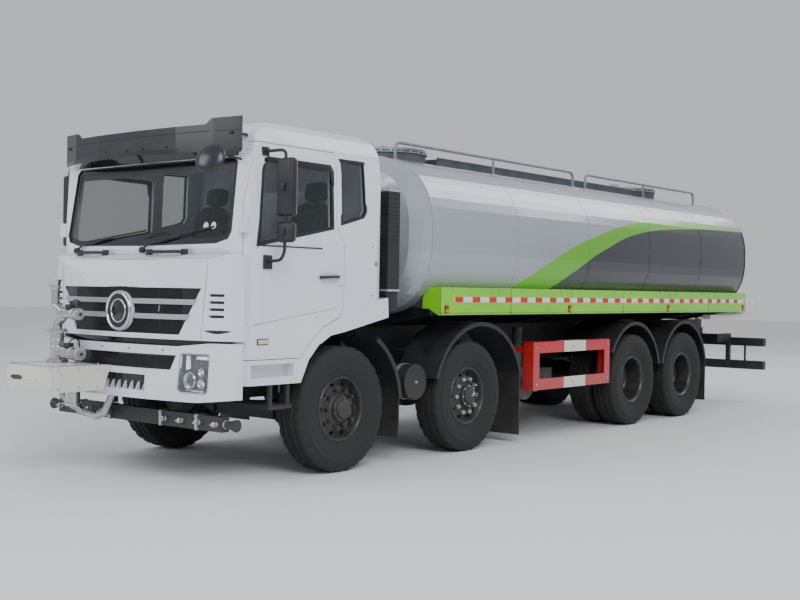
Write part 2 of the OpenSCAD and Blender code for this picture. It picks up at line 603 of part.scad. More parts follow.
module tank_deck() color("#4c5058") difference() {
  union() {
    for (y = manholes) translate([0, y, tank_top - 40]) difference() {
      cylinder(r = manhole_r, h = collar_top - tank_top + 40, $fn = 64);
      translate([0, 0, -1]) cylinder(r = manhole_r - collar_t, h = collar_top - tank_top + 42, $fn = 64);
    }
    // hinge ears and pin of each lid
    for (y = manholes) {
      both_sides() block([74, 88], [y + manhole_r - collar_t, y + manhole_r + 58],
        [collar_top - 60, lid_hinge_z + 18]);
      rod([-80, y + lid_hinge_y, lid_hinge_z], [80, y + lid_hinge_y, lid_hinge_z], lid_pin_r);
    }
    difference() {
      block([-deck_x, deck_x], [manholes[0] + manhole_r + 20, manholes[1] - manhole_r - 20],
        [tank_top - 40, tank_top + 70]);
      block([-deck_x + 6, deck_x - 6], [manholes[0] + manhole_r + 26, manholes[1] - manhole_r - 26],
        [tank_top - 60, tank_top + 64]);
    }
  }
  tank_bar(seat, [tank_front, shell_rear]);
}
lid_t = 26;
module manhole_lid(y) difference() {
  translate([0, y, collar_top + seat]) {
    difference() {
      cylinder(r = manhole_r + 6, h = lid_t, $fn = 64);
      block([-95, 95], [manhole_r - collar_t - 6, manhole_r + 60], [-1, lid_t + 1]);
    }
    block([-66, 66], [manhole_r - 40, manhole_r + 55], [0, 2 * (lid_hinge_z - collar_top)]);
    block([-60, 60], [-manhole_r + 60, -manhole_r + 80], [lid_t - 1, lid_t + 50]);
  }
  translate([-100, y + lid_hinge_y, lid_hinge_z]) rotate([0, 90, 0]) cylinder(r = lid_pin_r + fit,
    h = 200, $fn = 64);
}
module front_manhole_lid() color("#9ea3ab") manhole_lid(manholes[0]);
module rear_manhole_lid() color("#9ea3ab") manhole_lid(manholes[1]);

rail_spans = [[1530, 4970], [5270, 8380]];
handrail_x = manhole_r + 50;
handrail_top = 3050;
module top_rails() color("#7d828a") both_sides() for (span = rail_spans) {
  r = handrail_d / 2;
  top = handrail_top - r;
  low = tank_z(handrail_x, 1, -15);
  mid = (span[0] + span[1]) / 2;
  difference() {
    union() {
      rod([handrail_x, span[0], top], [handrail_x, span[1], top], r);
      for (y = span) rod([handrail_x, y, low], [handrail_x, y, top + r - 1], r + 1);
      rod([handrail_x, mid, low], [handrail_x, mid, top - r / 2], r - 3);
    }
    tank_bar(seat, [tank_front, shell_rear]);
  }
}

locker_y = [1260, 8410];
locker_top = 1605;
locker_out = rear_width / 2;
module side_lockers() color("#7fc61e") both_sides()
  front_plate(locker_y, concat([[1040, 1400]], [for (z = [1430 : 35 : locker_top]) [max(1040,
    tank_half_w(z, seat) + 2), z]],
    [[tank_half_w(locker_top, seat) + 2, locker_top], [locker_out, locker_top], [locker_out, 1368],
      [locker_out - 18, 1340], [1110, 1400]]));

guard_y = 2910;
guard_z = 535;
guard_x = [1110, 1240];
module side_guards() color("#b5262c") both_sides() {
  difference() {
    block(guard_x, [guard_y, guard_y + guard_len], [guard_z, guard_z + guard_h]);
    block([guard_x[0] - 1, guard_x[1] + 1], [guard_y + guard_bar, guard_y + guard_len - guard_bar],
      [guard_z + guard_bar, guard_z + guard_h - guard_bar]);
    block([guard_x[0] - 1, guard_x[1] - 12], [guard_y + 40, guard_y + guard_len - 40],
      [guard_z + 40, guard_z + guard_h - 40]);
  }
  for (y = [guard_y + 4, guard_y + guard_len - 44])
    block([rail_x + seat, guard_x[0] + 1], [y, y + 40], [guard_z + guard_h - 110, guard_z + guard_h - 60]);
}

guard_t = 10;
// An arched mudguard of elliptic outline with an outer lip
module arch_guard(y, ry, rz, a0, a1, x) {
  outer = arc(y, wheel_z, ry, rz, a0, a1, 14);
  inner = arc(y, wheel_z, ry - guard_t, rz - guard_t, a0, a1, 14);
  lip_top = arc(y, wheel_z, ry - guard_t / 2, rz - guard_t / 2, a0 + 0.5, a1 - 0.5, 14);
  lip = arc(y, wheel_z, ry - 42, rz - 42, a0 + 0.5, a1 - 0.5, 14);
  side_plate([x[0], x[1] - 2], concat(outer, reversed(inner)));
  side_plate([x[1] - 14, x[1]], concat(lip_top, reversed(lip)));
}
// A strut from the rail to an arch guard's inner edge, at angle a of its outline
module strut(y, ry, rz, a, x_end)
  rod([rail_x + seat, y + (ry - 5) * cos(a), wheel_z + (rz - 5) * sin(a)],
    [x_end, y + (ry - 5) * cos(a), wheel_z + (rz - 5) * sin(a)], 18);
module flap(x, y, z) block(x, [y - 7, y + 7], z);
front_guard_x = [740, 1225];
rear_guard_x = [600, 1255];
rear_arch = axle_gap_3 / 2 - 2;
module mudguards() color("#191a1d") both_sides() {
  // behind the first axle
  arch_guard(axle_1, 745, 720, 4, 58, front_guard_x);
  flap([760, 1190], axle_1 + 739, [230, wheel_z + 75]);
  strut(axle_1, 745, 720, 28, front_guard_x[0] + 5);
  // over the second axle
  arch_guard(axle_2 + 130, 760, 728, 16, 164, front_guard_x);
  flap([760, 1205], axle_2 + 130 + 724, [90, wheel_z + 230]);
  for (a = [40, 142]) strut(axle_2 + 130, 760, 728, a, front_guard_x[0] + 5);
  // over the tandem
  arch_guard(axle_3, rear_arch, 697, 14, 150, rear_guard_x);
  arch_guard(axle_4, rear_arch, 697, 14, 166, rear_guard_x);
  flap([650, 1240], axle_4 + rear_arch - 22, [170, wheel_z + 190]);
  strut(axle_3, rear_arch, 697, 140, rear_guard_x[0] + 5);
  strut(axle_4, rear_arch, 697, 40, rear_guard_x[0] + 5);
}

module air_tanks() color("#1e2023") both_sides() {
  disc_x([500, 1150], 1030, 720, 165);
  block([rail_x + seat, 520], [960, 1100], [700, 1000]);
}
module fuel_tank() color("#8f949b") {
  mirror([1, 0, 0]) {
    side_plate([500, 1060], concat(arc(3180, 640, 90, 90, 180, 270, 5), arc(4300, 640, 90, 90, 270, 360, 5),
      arc(4300, 960, 90, 90, 0, 90, 5), arc(3180, 960, 90, 90, 90, 180, 5)));
    for (y = [3350, 4050]) block([rail_x + seat, 501], [y, y + 60], [rail_low, rail_low + 200]);
  }
}
module water_pump() color("#5a5e63") {
  disc_x([560, 760], 3500, 560, 190);
  disc_x([750, 900], 3500, 560, 90);
  block([520, 700], [3700 - 60, 4150], [470, 700]);
  rod([640, 3500, 560], [640, 3700, 580], 60);
  pipe([[640, 3500, 700], [640, 3500, 1000], [640, 3500, 1180]], 55);
  block([rail_x + seat, 600], [3860, 3960], [500, 900]);
}

platform_y = [shell_rear + tank_dish + 10, axle_4 + 2550];
platform_z = [1240, 1500];
module rear_platform() color("#e4e4df") {
  difference() {
    block([-1150, 1150], platform_y, platform_z);
    block([-1110, 1110], [platform_y[0] + 40, platform_y[1] - 40], [platform_z[0] - 1, platform_z[1] - 40]);
  }
  both_sides() {
    block([1040, 1150], [7500, platform_y[0] + 1], [platform_z[0], 1300]);
    block([rail_x - 60, rail_x], [platform_y[0] + 10, platform_y[1] - 10],
      [sub_top + seat, platform_z[1] - 39]);
  }
}
module underrun_bars() color("#1b1c1f") {
  for (z = [[820, 940], [475, 600]]) block([-1200, 1200], [bars_rear - 100, bars_rear], z);
  both_sides() {
    block([640, 700], [bars_rear - 160, bars_rear - 100], [480, 1000]);
    block([rail_x + seat, 700], [bars_rear - 600, bars_rear - 540], [880, 1000]);
    block([640, 700], [bars_rear - 600, bars_rear - 100], [880, 1000]);
    rod([900, bars_rear - 50, 590], [900, bars_rear - 50, 830], 16);
  }
}

// ---- moving pieces ----
module left_door() color("#dfe3ea") door();
module left_door_glass() color("#20262b", 0.5) door_pane();
module left_mirrors() color("#202226") mirrors();
module right_door() color("#dfe3ea") mirror([1, 0, 0]) door();
module right_door_glass() color("#20262b", 0.5) mirror([1, 0, 0]) door_pane();
module right_mirrors() color("#202226") mirror([1, 0, 0]) mirrors();

spindle_tip = front_x + 60;
lug_gap = 1;
module knuckle(y) translate([0, y, wheel_z]) {
  translate([kingpin_x, 0, -eye_h / 2 - 50]) cylinder(r = kingpin_r, h = eye_h + 100, $fn = 64);
  for (s = [0, 1]) mirror([0, 0, s]) {
    translate([kingpin_x, 0, eye_h / 2 + lug_gap]) cylinder(r = 50, h = 36, $fn = 48);
    block([kingpin_x, 966], [-45, 45], [eye_h / 2 + lug_gap, eye_h / 2 + lug_gap + 36]);
  }
  block([961, 986], [-60, 60], [-eye_h / 2 - 36, eye_h / 2 + 36]);
  disc_x([985, spindle_tip], 0, 0, spindle_r);
  // steering arm
  block([830, 905], [60, 190], [-eye_h / 2 - 55, -eye_h / 2 - 30]);
  block([880, 985], [30, 90], [-eye_h / 2 - 55, -eye_h / 2 - 30]);
}
module left_knuckle_1() color("#2a2c30") knuckle(axle_1);
module right_knuckle_1() color("#2a2c30") mirror([1, 0, 0]) knuckle(axle_1);
module left_knuckle_2() color("#2a2c30") knuckle(axle_2);
module right_knuckle_2() color("#2a2c30") mirror([1, 0, 0]) knuckle(axle_2);

// Turns a profile of (radius, offset outwards) points about an axle at x
module turned(x, y, points) translate([x, y, wheel_z]) rotate([0, 90,
  0]) rotate_extrude($fn = 96) polygon(points);
bead_w = 100;
tyre_half = [[bead_r + seat, bead_w], [bead_r + 24, bead_w], [bead_r + 60, tyre_w / 2 - 26],
  [bead_r + 120, tyre_w / 2],
  [bead_r + 180, tyre_w / 2], [tyre_d / 2 - 45, tyre_w / 2 - 12], [tyre_d / 2 - 14, tyre_w / 2 - 30],
  [tyre_d / 2, tyre_w / 2 - 52]];
module tyre(x, y) turned(x, y, concat(tyre_half, [for (p = reversed(tyre_half)) [p[0], -p[1]]]));
// A rim's barrel with its two flanges
module barrel(x, y) turned(x, y, [[bead_r - 12, -bead_w - 10], [bead_r + 20, -bead_w - 10],
  [bead_r + 20, -bead_w - seat],
  [bead_r, -bead_w - seat], [bead_r, bead_w + seat], [bead_r + 20, bead_w + seat],
    [bead_r + 20, bead_w + 10], [bead_r - 12, bead_w + 10]]);
drum_r = 205;
module front_rim(y) {
  barrel(front_x, y);
  // disc, drum and hub
  turned(front_x, y, [[spindle_r + fit, -45], [80, -45], [80, 40], [drum_r - 14, 40], [drum_r - 14, -54],
    [drum_r, -54], [drum_r, 62],
    [bead_r - 11, 62], [bead_r - 11, 78], [110, 78], [96, 120], [70, 142], [0, 142], [0, 62],
      [spindle_r + fit, 62]]);
}
module left_rim_1() color("#26282b") front_rim(axle_1);
module right_rim_1() color("#26282b") mirror([1, 0, 0]) front_rim(axle_1);
module left_rim_2() color("#26282b") front_rim(axle_2);
module right_rim_2() color("#26282b") mirror([1, 0, 0]) front_rim(axle_2);
module left_tyre_1() color("#1d1d1f") tyre(front_x, axle_1);
module right_tyre_1() color("#1d1d1f") mirror([1, 0, 0]) tyre(front_x, axle_1);
module left_tyre_2() color("#1d1d1f") tyre(front_x, axle_2);
module right_tyre_2() color("#1d1d1f") mirror([1, 0, 0]) tyre(front_x, axle_2);

module twin_rims(y) {
  for (s = [-1, 1]) barrel(rear_x + s * twin_pitch / 2, y);
  // discs back to back, joined to both barrels, with the hub and the drum
  turned(rear_x, y, [[rear_spindle_r + fit, -100], [100, -100], [100, -14], [drum_r - 14, -14],
    [drum_r - 14, -190], [drum_r, -190],
    [drum_r, -14], [bead_r - 12, -60], [bead_r, -60], [bead_r, 60], [bead_r - 12, 60], [bead_r - 12, 20],
      [120, 14], [110, 60],
    [100, 130], [60, 150], [0, 150], [0, 120], [rear_spindle_r + fit, 120]]);
}
module twin_tyres(y) for (s = [-1, 1]) tyre(rear_x + s * twin_pitch / 2, y);
module left_rims_3() color("#26282b") twin_rims(axle_3);
module right_rims_3() color("#26282b") mirror([1, 0, 0]) twin_rims(axle_3);
module left_rims_4() color("#26282b") twin_rims(axle_4);
module right_rims_4() color("#26282b") mirror([1, 0, 0]) twin_rims(axle_4);
module left_tyres_3() color("#1d1d1f") twin_tyres(axle_3);
module right_tyres_3() color("#1d1d1f") mirror([1, 0, 0]) twin_tyres(axle_3);
module left_tyres_4() color("#1d1d1f") twin_tyres(axle_4);
module right_tyres_4() color("#1d1d1f") mirror([1, 0, 0]) twin_tyres(axle_4);

place() frame();
place() subframe();
place() engine();
place() driveline();
place() axles();
place() leaf_springs();
place() cab_shell();
place() cab_glass();
place() front_panel();
place() bumper();
place() headlamps();
place() sun_visor();
place() corner_mirror();
place() dashboard();
place() seats();
place() cab_steps();
place() air_intake();
place() spray_bar();
place() valve_box();
place() water_pipes();
place() tank();
place() tank_deck();
place() top_rails();
place() side_lockers();
place() side_guards();
place() mudguards();
place() air_tanks();
place() fuel_tank();
place() water_pump();
place() rear_platform();
place() underrun_bars();
place() left_door();
place() left_door_glass();
place() left_mirrors();
place() right_door();
place() right_door_glass();
place() right_mirrors();
place() front_manhole_lid();
place() rear_manhole_lid();
place() left_knuckle_1();
place() right_knuckle_1();
place() left_knuckle_2();
place() right_knuckle_2();
place() left_rim_1();
place() left_tyre_1();
place() right_rim_1();
place() right_tyre_1();
place() left_rim_2();
place() left_tyre_2();
place() right_rim_2();
place() right_tyre_2();
place() left_rims_3();
place() left_tyres_3();
place() right_rims_3();
place() right_tyres_3();
place() left_rims_4();
place() left_tyres_4();
place() right_rims_4();
place() right_tyres_4();
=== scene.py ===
"""Looks of an eight-by-four water tanker: finishes, trim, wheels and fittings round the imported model.

Sizes are in metres. Lengths along the truck are given back from the first axle, and at() moves them
to the frame. The front faces -Y and the truck's left is +X.
"""

import json
import logging
import math
from collections.abc import Callable, Iterable, Sequence
from dataclasses import dataclass, field
from enum import Enum

import bmesh
import bpy
from mathutils import Matrix, Vector


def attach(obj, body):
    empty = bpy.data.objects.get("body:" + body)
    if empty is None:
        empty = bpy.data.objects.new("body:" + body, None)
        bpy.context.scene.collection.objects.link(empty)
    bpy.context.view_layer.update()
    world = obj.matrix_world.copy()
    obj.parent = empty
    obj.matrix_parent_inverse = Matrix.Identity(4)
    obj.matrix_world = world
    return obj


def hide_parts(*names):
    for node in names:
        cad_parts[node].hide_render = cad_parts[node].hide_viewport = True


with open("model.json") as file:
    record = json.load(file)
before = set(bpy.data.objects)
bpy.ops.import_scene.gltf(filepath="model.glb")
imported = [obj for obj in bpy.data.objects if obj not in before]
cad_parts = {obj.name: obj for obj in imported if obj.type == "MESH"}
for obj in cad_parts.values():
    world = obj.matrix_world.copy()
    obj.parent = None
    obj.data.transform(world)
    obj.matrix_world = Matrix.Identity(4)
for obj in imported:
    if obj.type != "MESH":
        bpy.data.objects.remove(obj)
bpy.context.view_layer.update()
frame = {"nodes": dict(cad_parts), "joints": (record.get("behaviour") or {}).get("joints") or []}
LOG = logging.getLogger("tanker")
JOINT_AT = {joint["name"]: Vector(joint["pos_m"]) for joint in frame["joints"]}
AXLE_1 = JOINT_AT["left_wheel_1_spin"].y
SHARP = math.radians(38)
SAME_POINT = 1e-6
BOARD_STEPS = 24
Point = Sequence[float]


def at(x: float, y: float, z: float) -> Vector:
    """A point of the truck, with y measured back from the first axle.

    Args:
        x: Metres to the truck's left.
        y: Metres behind the first axle.
        z: Metres above the ground.

    Returns:
        The point in the frame.
    """
    return Vector((x, AXLE_1 + y, z))


def srgb(code: str) -> tuple[float, float, float, float]:
    """Turns a colour's hex code to linear light.

    Args:
        code: Six hex digits, with or without a leading hash.

    Returns:
        Linear red, green and blue with an alpha of one.
    """
    parts = [int(code.lstrip("#")[i : i + 2], 16) / 255 for i in (0, 2, 4)]
    light = [p / 12.92 if p <= 0.04045 else ((p + 0.055) / 1.055) ** 2.4 for p in parts]
    return (light[0], light[1], light[2], 1.0)


def add_node(
    tree: bpy.types.NodeTree, kind: str, inputs: dict | None = None, **settings: object
) -> bpy.types.Node:
    """Adds one node with its settings, values and links.

    Args:
        tree: The tree that gets the node.
        kind: The node's type name.
        inputs: Values or sockets by input name or number.
        settings: The node's own properties.

    Returns:
        The new node.
    """
    node = tree.nodes.new(kind)
    for name, value in settings.items():
        setattr(node, name, value)
    for name, value in (inputs or {}).items():
        if isinstance(value, bpy.types.NodeSocket):
            tree.links.new(value, node.inputs[name])
        else:
            node.inputs[name].default_value = value
    return node


def math_node(
    tree: bpy.types.NodeTree, operation: str, *values: object, clamp: bool = False
) -> bpy.types.NodeSocket:
    """One step of arithmetic in a material.

    Args:
        tree: The material's tree.
        operation: The name of the operation.
        values: Numbers or sockets, in order.
        clamp: Whether the result is held between zero and one.

    Returns:
        The result's socket.
    """
    node = add_node(tree, "ShaderNodeMath", dict(enumerate(values)), operation=operation, use_clamp=clamp)
    return node.outputs[0]


def blend_colours(
    tree: bpy.types.NodeTree, share: object, first: object, second: object
) -> bpy.types.NodeSocket:
    """Mixes two colours.

    Args:
        tree: The material's tree.
        share: How much of the second colour shows.
        first: A colour or its socket.
        second: A colour or its socket.

    Returns:
        The mixed colour's socket.
    """
    node = add_node(tree, "ShaderNodeMix", {0: share, 6: first, 7: second}, data_type="RGBA")
    return node.outputs[2]


@dataclass(frozen=True)
class Finish:
    """A surface as a maker would name it, with the marks that a viewer sees on it."""

    name: str
    colour: str
    tone: str
    tone_mm: float = 600.0
    roughness: float = 0.4
    spread: float = 0.08
    metallic: float = 0.0
    coat: float = 0.0
    grain_mm: float = 4.0
    grain_depth_mm: float = 0.05
    stretch: tuple[float, float, float] = (1.0, 1.0, 1.0)
    dust: float = 0.0
    dust_top: float = 1.2
    opacity: float = 1.0
    ior: float = 1.5
    sheen: float = 0.0
    glow: float = 0.0
    paint_on: Callable | None = None

    def material(self) -> bpy.types.Material:
        """The finish's material, made on its first use.

        Returns:
            The material.
        """
        return bpy.data.materials.get(self.name) or self._make()

    def _make(self) -> bpy.types.Material:
        """Builds tone, dust, grain and gloss as nodes.

        Returns:
            The new material.
        """
        material = bpy.data.materials.new(self.name)
        material.use_nodes = True
        tree = material.node_tree
        tree.nodes.clear()
        place = add_node(tree, "ShaderNodeTexCoord").outputs["Object"]
        turned = add_node(tree, "ShaderNodeMapping", {"Vector": place, "Scale": self.stretch}).outputs[0]
        patches = add_node(
            tree, "ShaderNodeTexNoise", {"Vector": turned, "Scale": 1000 / self.tone_mm, "Detail": 5.0}
        ).outputs[0]
        share = add_node(
            tree, "ShaderNodeMapRange", {"Value": patches, "From Min": 0.38, "From Max": 0.66}
        ).outputs[0]
        colour = blend_colours(tree, share, srgb(self.colour), srgb(self.tone))
        if self.paint_on:
            colour = self.paint_on(tree, place, colour)
        rough = add_node(
            tree,
            "ShaderNodeMapRange",
            {
                "Value": patches,
                "From Min": 0.3,
                "From Max": 0.7,
                "To Min": max(0.02, self.roughness - self.spread),
                "To Max": min(1.0, self.roughness + self.spread),
            },
        ).outputs[0]
        if self.dust:
            colour, rough = self._dusty(tree, place, colour, rough)
        grain = add_node(
            tree, "ShaderNodeTexNoise", {"Vector": turned, "Scale": 1000 / self.grain_mm, "Detail": 3.0}
        ).outputs[0]
        bump = add_node(
            tree,
            "ShaderNodeBump",
            {"Height": grain, "Strength": 0.6, "Distance": self.grain_depth_mm / 1000},
        ).outputs[0]
        shader = add_node(
            tree,
            "ShaderNodeBsdfPrincipled",
            {
                "Base Color": colour,
                "Roughness": rough,
                "Metallic": self.metallic,
                "Coat Weight": self.coat,
                "Coat Roughness": 0.06,
                "Sheen Weight": self.sheen,
                "IOR": self.ior,
                "Alpha": self.opacity,
                "Normal": bump,
            },
        )
        if self.glow:
            shader.inputs["Emission Color"].default_value = srgb(self.colour)
            shader.inputs["Emission Strength"].default_value = self.glow
        add_node(tree, "ShaderNodeOutputMaterial", {"Surface": shader.outputs[0]})
        material.diffuse_color = srgb(self.colour)
        return material

    def _dusty(
        self,
        tree: bpy.types.NodeTree,
        place: bpy.types.NodeSocket,
        colour: bpy.types.NodeSocket,
        rough: bpy.types.NodeSocket,
    ) -> tuple[bpy.types.NodeSocket, bpy.types.NodeSocket]:
        """Road dust that thickens towards the ground.

        Args:
            tree: The material's tree.
            place: The object coordinates.
            colour: The clean colour.
            rough: The clean roughness.

        Returns:
            The dusty colour and roughness.
        """
        height = add_node(tree, "ShaderNodeSeparateXYZ", {0: place}).outputs["Z"]
        fall = add_node(
            tree,
            "ShaderNodeMapRange",
            {"Value": height, "From Min": self.dust_top, "From Max": 0.1, "To Max": self.dust},
        ).outputs[0]
        spots = add_node(
            tree, "ShaderNodeTexNoise", {"Vector": place, "Scale": 9.0, "Detail": 8.0, "Roughness": 0.65}
        ).outputs[0]
        amount = math_node(tree, "MULTIPLY", fall, math_node(tree, "MULTIPLY", spots, 1.7), clamp=True)
        dusty = blend_colours(tree, amount, colour, srgb("#8b8479"))
        rougher = math_node(tree, "ADD", rough, math_node(tree, "MULTIPLY", amount, 0.35), clamp=True)
        return dusty, rougher


def between(
    tree: bpy.types.NodeTree, value: bpy.types.NodeSocket, low: float, high: float, soft: float = 0.0015
) -> bpy.types.NodeSocket:
    """A mask that is one from low to high.

    Args:
        tree: The material's tree.
        value: The coordinate that is tested.
        low: Where the band begins.
        high: Where the band ends.
        soft: Width over which an edge fades.

    Returns:
        The mask's socket.
    """
    rise = add_node(
        tree, "ShaderNodeMapRange", {"Value": value, "From Min": low - soft, "From Max": low + soft}
    )
    fall = add_node(
        tree,
        "ShaderNodeMapRange",
        {"Value": value, "From Min": high - soft, "From Max": high + soft, "To Min": 1.0, "To Max": 0.0},
    )
    return math_node(tree, "MULTIPLY", rise.outputs[0], fall.outputs[0])


def edge_curve(
    tree: bpy.types.NodeTree, along: bpy.types.NodeSocket, points: Sequence[tuple[float, float]]
) -> bpy.types.NodeSocket:
    """Height of a painted edge as a smooth curve along the truck.

    Args:
        tree: The material's tree.
        along: Metres behind the first axle.
        points: The edge's own points, as (metres back, metres up).

    Returns:
        The edge's height.
    """
    first, last = points[0][0], points[-1][0]
    share = add_node(tree, "ShaderNodeMapRange", {"Value": along, "From Min": first, "From Max": last})
    node = add_node(tree, "ShaderNodeFloatCurve", {"Value": share.outputs[0]})
    curve = node.mapping.curves[0]
    low, high = points[0][1], max(z for _, z in points)
    for k, (y, z) in enumerate(points):
        spot = ((y - first) / (last - first), (z - low) / (high - low))
        if k == 0:
            curve.points[0].location = spot
        elif k == len(points) - 1:
            curve.points[-1].location = spot
        else:
            curve.points.new(*spot)
    node.mapping.update()
    return math_node(tree, "MULTIPLY_ADD", node.outputs[0], high - low, low)


def tank_livery(
    tree: bpy.types.NodeTree, place: bpy.types.NodeSocket, base: bpy.types.NodeSocket
) -> bpy.types.NodeSocket:
    """The lime sweep and the slate field painted on the tank's sides.

    Args:
        tree: The material's tree.
        place: The object coordinates.
        base: The tank's silver.

    Returns:
        The painted colour.
    """
    xyz = add_node(tree, "ShaderNodeSeparateXYZ", {0: place}).outputs
    back = math_node(tree, "SUBTRACT", xyz["Y"], AXLE_1)
    side = between(tree, math_node(tree, "ABSOLUTE", xyz["X"]), 0.55, 2.0)
    upper = edge_curve(tree, back, ((2.62, 1.60), (3.35, 1.95), (4.12, 2.20), (5.31, 2.43), (6.6, 2.50),
                                    (8.41, 2.53)))
    lower = edge_curve(tree, back, ((3.36, 1.60), (3.80, 1.83), (4.35, 2.06), (5.31, 2.31), (6.6, 2.42),
                                    (8.41, 2.47)))
    shell = between(tree, back, 2.6, 8.395)
    under_top = math_node(tree, "GREATER_THAN", upper, xyz["Z"])
    under_low = math_node(tree, "GREATER_THAN", lower, xyz["Z"])
    on_side = math_node(tree, "MULTIPLY", side, shell)
    pale = add_node(tree, "ShaderNodeMapRange", {"Value": back, "From Min": 5.2, "From Max": 8.4}).outputs[0]
    lime = blend_colours(tree, pale, srgb("#64b800"), srgb("#8cc46a"))
    painted = blend_colours(tree, math_node(tree, "MULTIPLY", on_side, under_top), base, lime)
    slate_on = math_node(tree, "MULTIPLY", math_node(tree, "MULTIPLY", on_side, under_low),
                         between(tree, back, 3.36, 9))
    return blend_colours(tree, slate_on, painted, srgb("#262a35"))


def guard_bands(
    tree: bpy.types.NodeTree, place: bpy.types.NodeSocket, base: bpy.types.NodeSocket
) -> bpy.types.NodeSocket:
    """White bands at the middle of a red guard's long members.

    Args:
        tree: The material's tree.
        place: The object coordinates.
        base: The guard's red.

    Returns:
        The banded colour.
    """
    xyz = add_node(tree, "ShaderNodeSeparateXYZ", {0: place}).outputs
    back = math_node(tree, "SUBTRACT", xyz["Y"], AXLE_1)
    outside = math_node(tree, "GREATER_THAN", math_node(tree, "ABSOLUTE", xyz["X"]), 1.09)
    band = math_node(tree, "MULTIPLY", between(tree, back, 3.53, 3.99), outside)
    return blend_colours(tree, band, base, srgb("#dedcd6"))


# Two-pack vehicle enamel with a clear coat: deep gloss, faint orange peel, a little road dust low down
CAB_WHITE = Finish("cab_enamel_white", "#dfe3ec", "#d6dbe6", 900, 0.24, 0.04, coat=0.6, grain_mm=9,
                   grain_depth_mm=0.03, dust=0.22)
BUMPER_WHITE = Finish("bumper_enamel_white", "#dde1ea", "#d2d7e2", 700, 0.28, 0.05, coat=0.5, grain_mm=7,
                      grain_depth_mm=0.03, dust=0.3)
# Silver sheet-metal paint: fine flake sparkle and long soft ripples of the rolled shell
TANK_SILVER = Finish("tank_enamel_silver", "#a7acb8", "#9da2ae", 1500, 0.27, 0.05, metallic=0.35, coat=0.5,
                     grain_mm=260, grain_depth_mm=3.0, stretch=(1, 0.6, 1), paint_on=tank_livery)
LID_SILVER = Finish("lid_enamel_silver", "#9aa0ab", "#8b919c", 300, 0.35, coat=0.3, metallic=0.3)
LOCKER_LIME = Finish("locker_enamel_lime", "#84d514", "#79c911", 800, 0.26, 0.05, coat=0.5, grain_mm=12,
                     grain_depth_mm=0.04, dust=0.15)
GUARD_RED = Finish("guard_enamel_red", "#c1121c", "#ad0f18", 500, 0.3, coat=0.4, dust=0.3,
                   paint_on=guard_bands)
CREAM = Finish("cream_enamel", "#dcdcd4", "#d0d0c6", 350, 0.36, coat=0.25, dust=0.2)
# Satin black chassis paint over mill-scale steel: dull sheen, a little dust in the corners
CHASSIS = Finish("chassis_satin_black", "#17181b", "#212226", 220, 0.48, 0.1, grain_mm=2.5,
                 grain_depth_mm=0.12, dust=0.15)
CAST_GREY = Finish("cast_iron_grey", "#4b4f55", "#3a3d42", 140, 0.6, grain_mm=1.6, grain_depth_mm=0.3,
                   dust=0.5)
# Injection-moulded polypropylene: fine leather-like grain and a soft grey bloom
BLACK_PLASTIC = Finish("polypropylene_black", "#1a1b1e", "#232529", 160, 0.5, 0.08, grain_mm=1.4,
                       grain_depth_mm=0.12, dust=0.12)
GLOSS_BLACK = Finish("gloss_black_lacquer", "#0c0d0f", "#101114", 200, 0.14, 0.03, coat=0.5)
SLATE_PLASTIC = Finish("slate_satin_plastic", "#1d1f25", "#24262d", 300, 0.34, 0.06, coat=0.15, grain_mm=2,
                       grain_depth_mm=0.05)
CABIN_PLASTIC = Finish("cabin_plastic_grey", "#3a3d42", "#44474c", 200, 0.6, grain_mm=1.2,
                       grain_depth_mm=0.12)
# Carbon-black tread compound: matt, with a brown-grey dusty bloom
TYRE = Finish("tyre_rubber", "#151516", "#1e1e21", 90, 0.72, 0.1, grain_mm=2.2, grain_depth_mm=0.25, dust=0.2,
              dust_top=1.1)
RIM_BLACK = Finish("rim_satin_black", "#141518", "#222327", 110, 0.4, 0.1, coat=0.1, grain_mm=2,
                   grain_depth_mm=0.08, dust=0.12)
# Brushed austenitic tube: cool grey metal with fine lengthwise lines
STAINLESS = Finish("stainless_tube", "#c9cacb", "#aeb0b2", 120, 0.24, 0.1, metallic=1.0, grain_mm=1.2,
                   grain_depth_mm=0.06, stretch=(1, 1, 0.15))
CHROME = Finish("bright_chrome", "#d8dade", "#c9ccd2", 200, 0.1, 0.04, metallic=1.0)
ZINC = Finish("zinc_plated_steel", "#c4c6c9", "#adafb2", 60, 0.36, 0.1, metallic=0.65, grain_mm=1.5)
SILVER_BAR = Finish("silver_painted_bar", "#b4b7bd", "#a7aab1", 200, 0.3, metallic=0.6, coat=0.4)
ALLOY = Finish("mill_aluminium", "#b2b5b8", "#a2a5a9", 180, 0.36, metallic=0.9, grain_mm=1.5, dust=0.2)
RAIL_GREY = Finish("rail_grey_paint", "#7d828b", "#6e737c", 160, 0.38, coat=0.2)
DECK_GREY = Finish("deck_chequer_paint", "#50545c", "#454951", 200, 0.55)
FORGED = Finish("painted_forging", "#1e2023", "#2b2c2f", 120, 0.5, grain_mm=2, grain_depth_mm=0.2, dust=0.15)
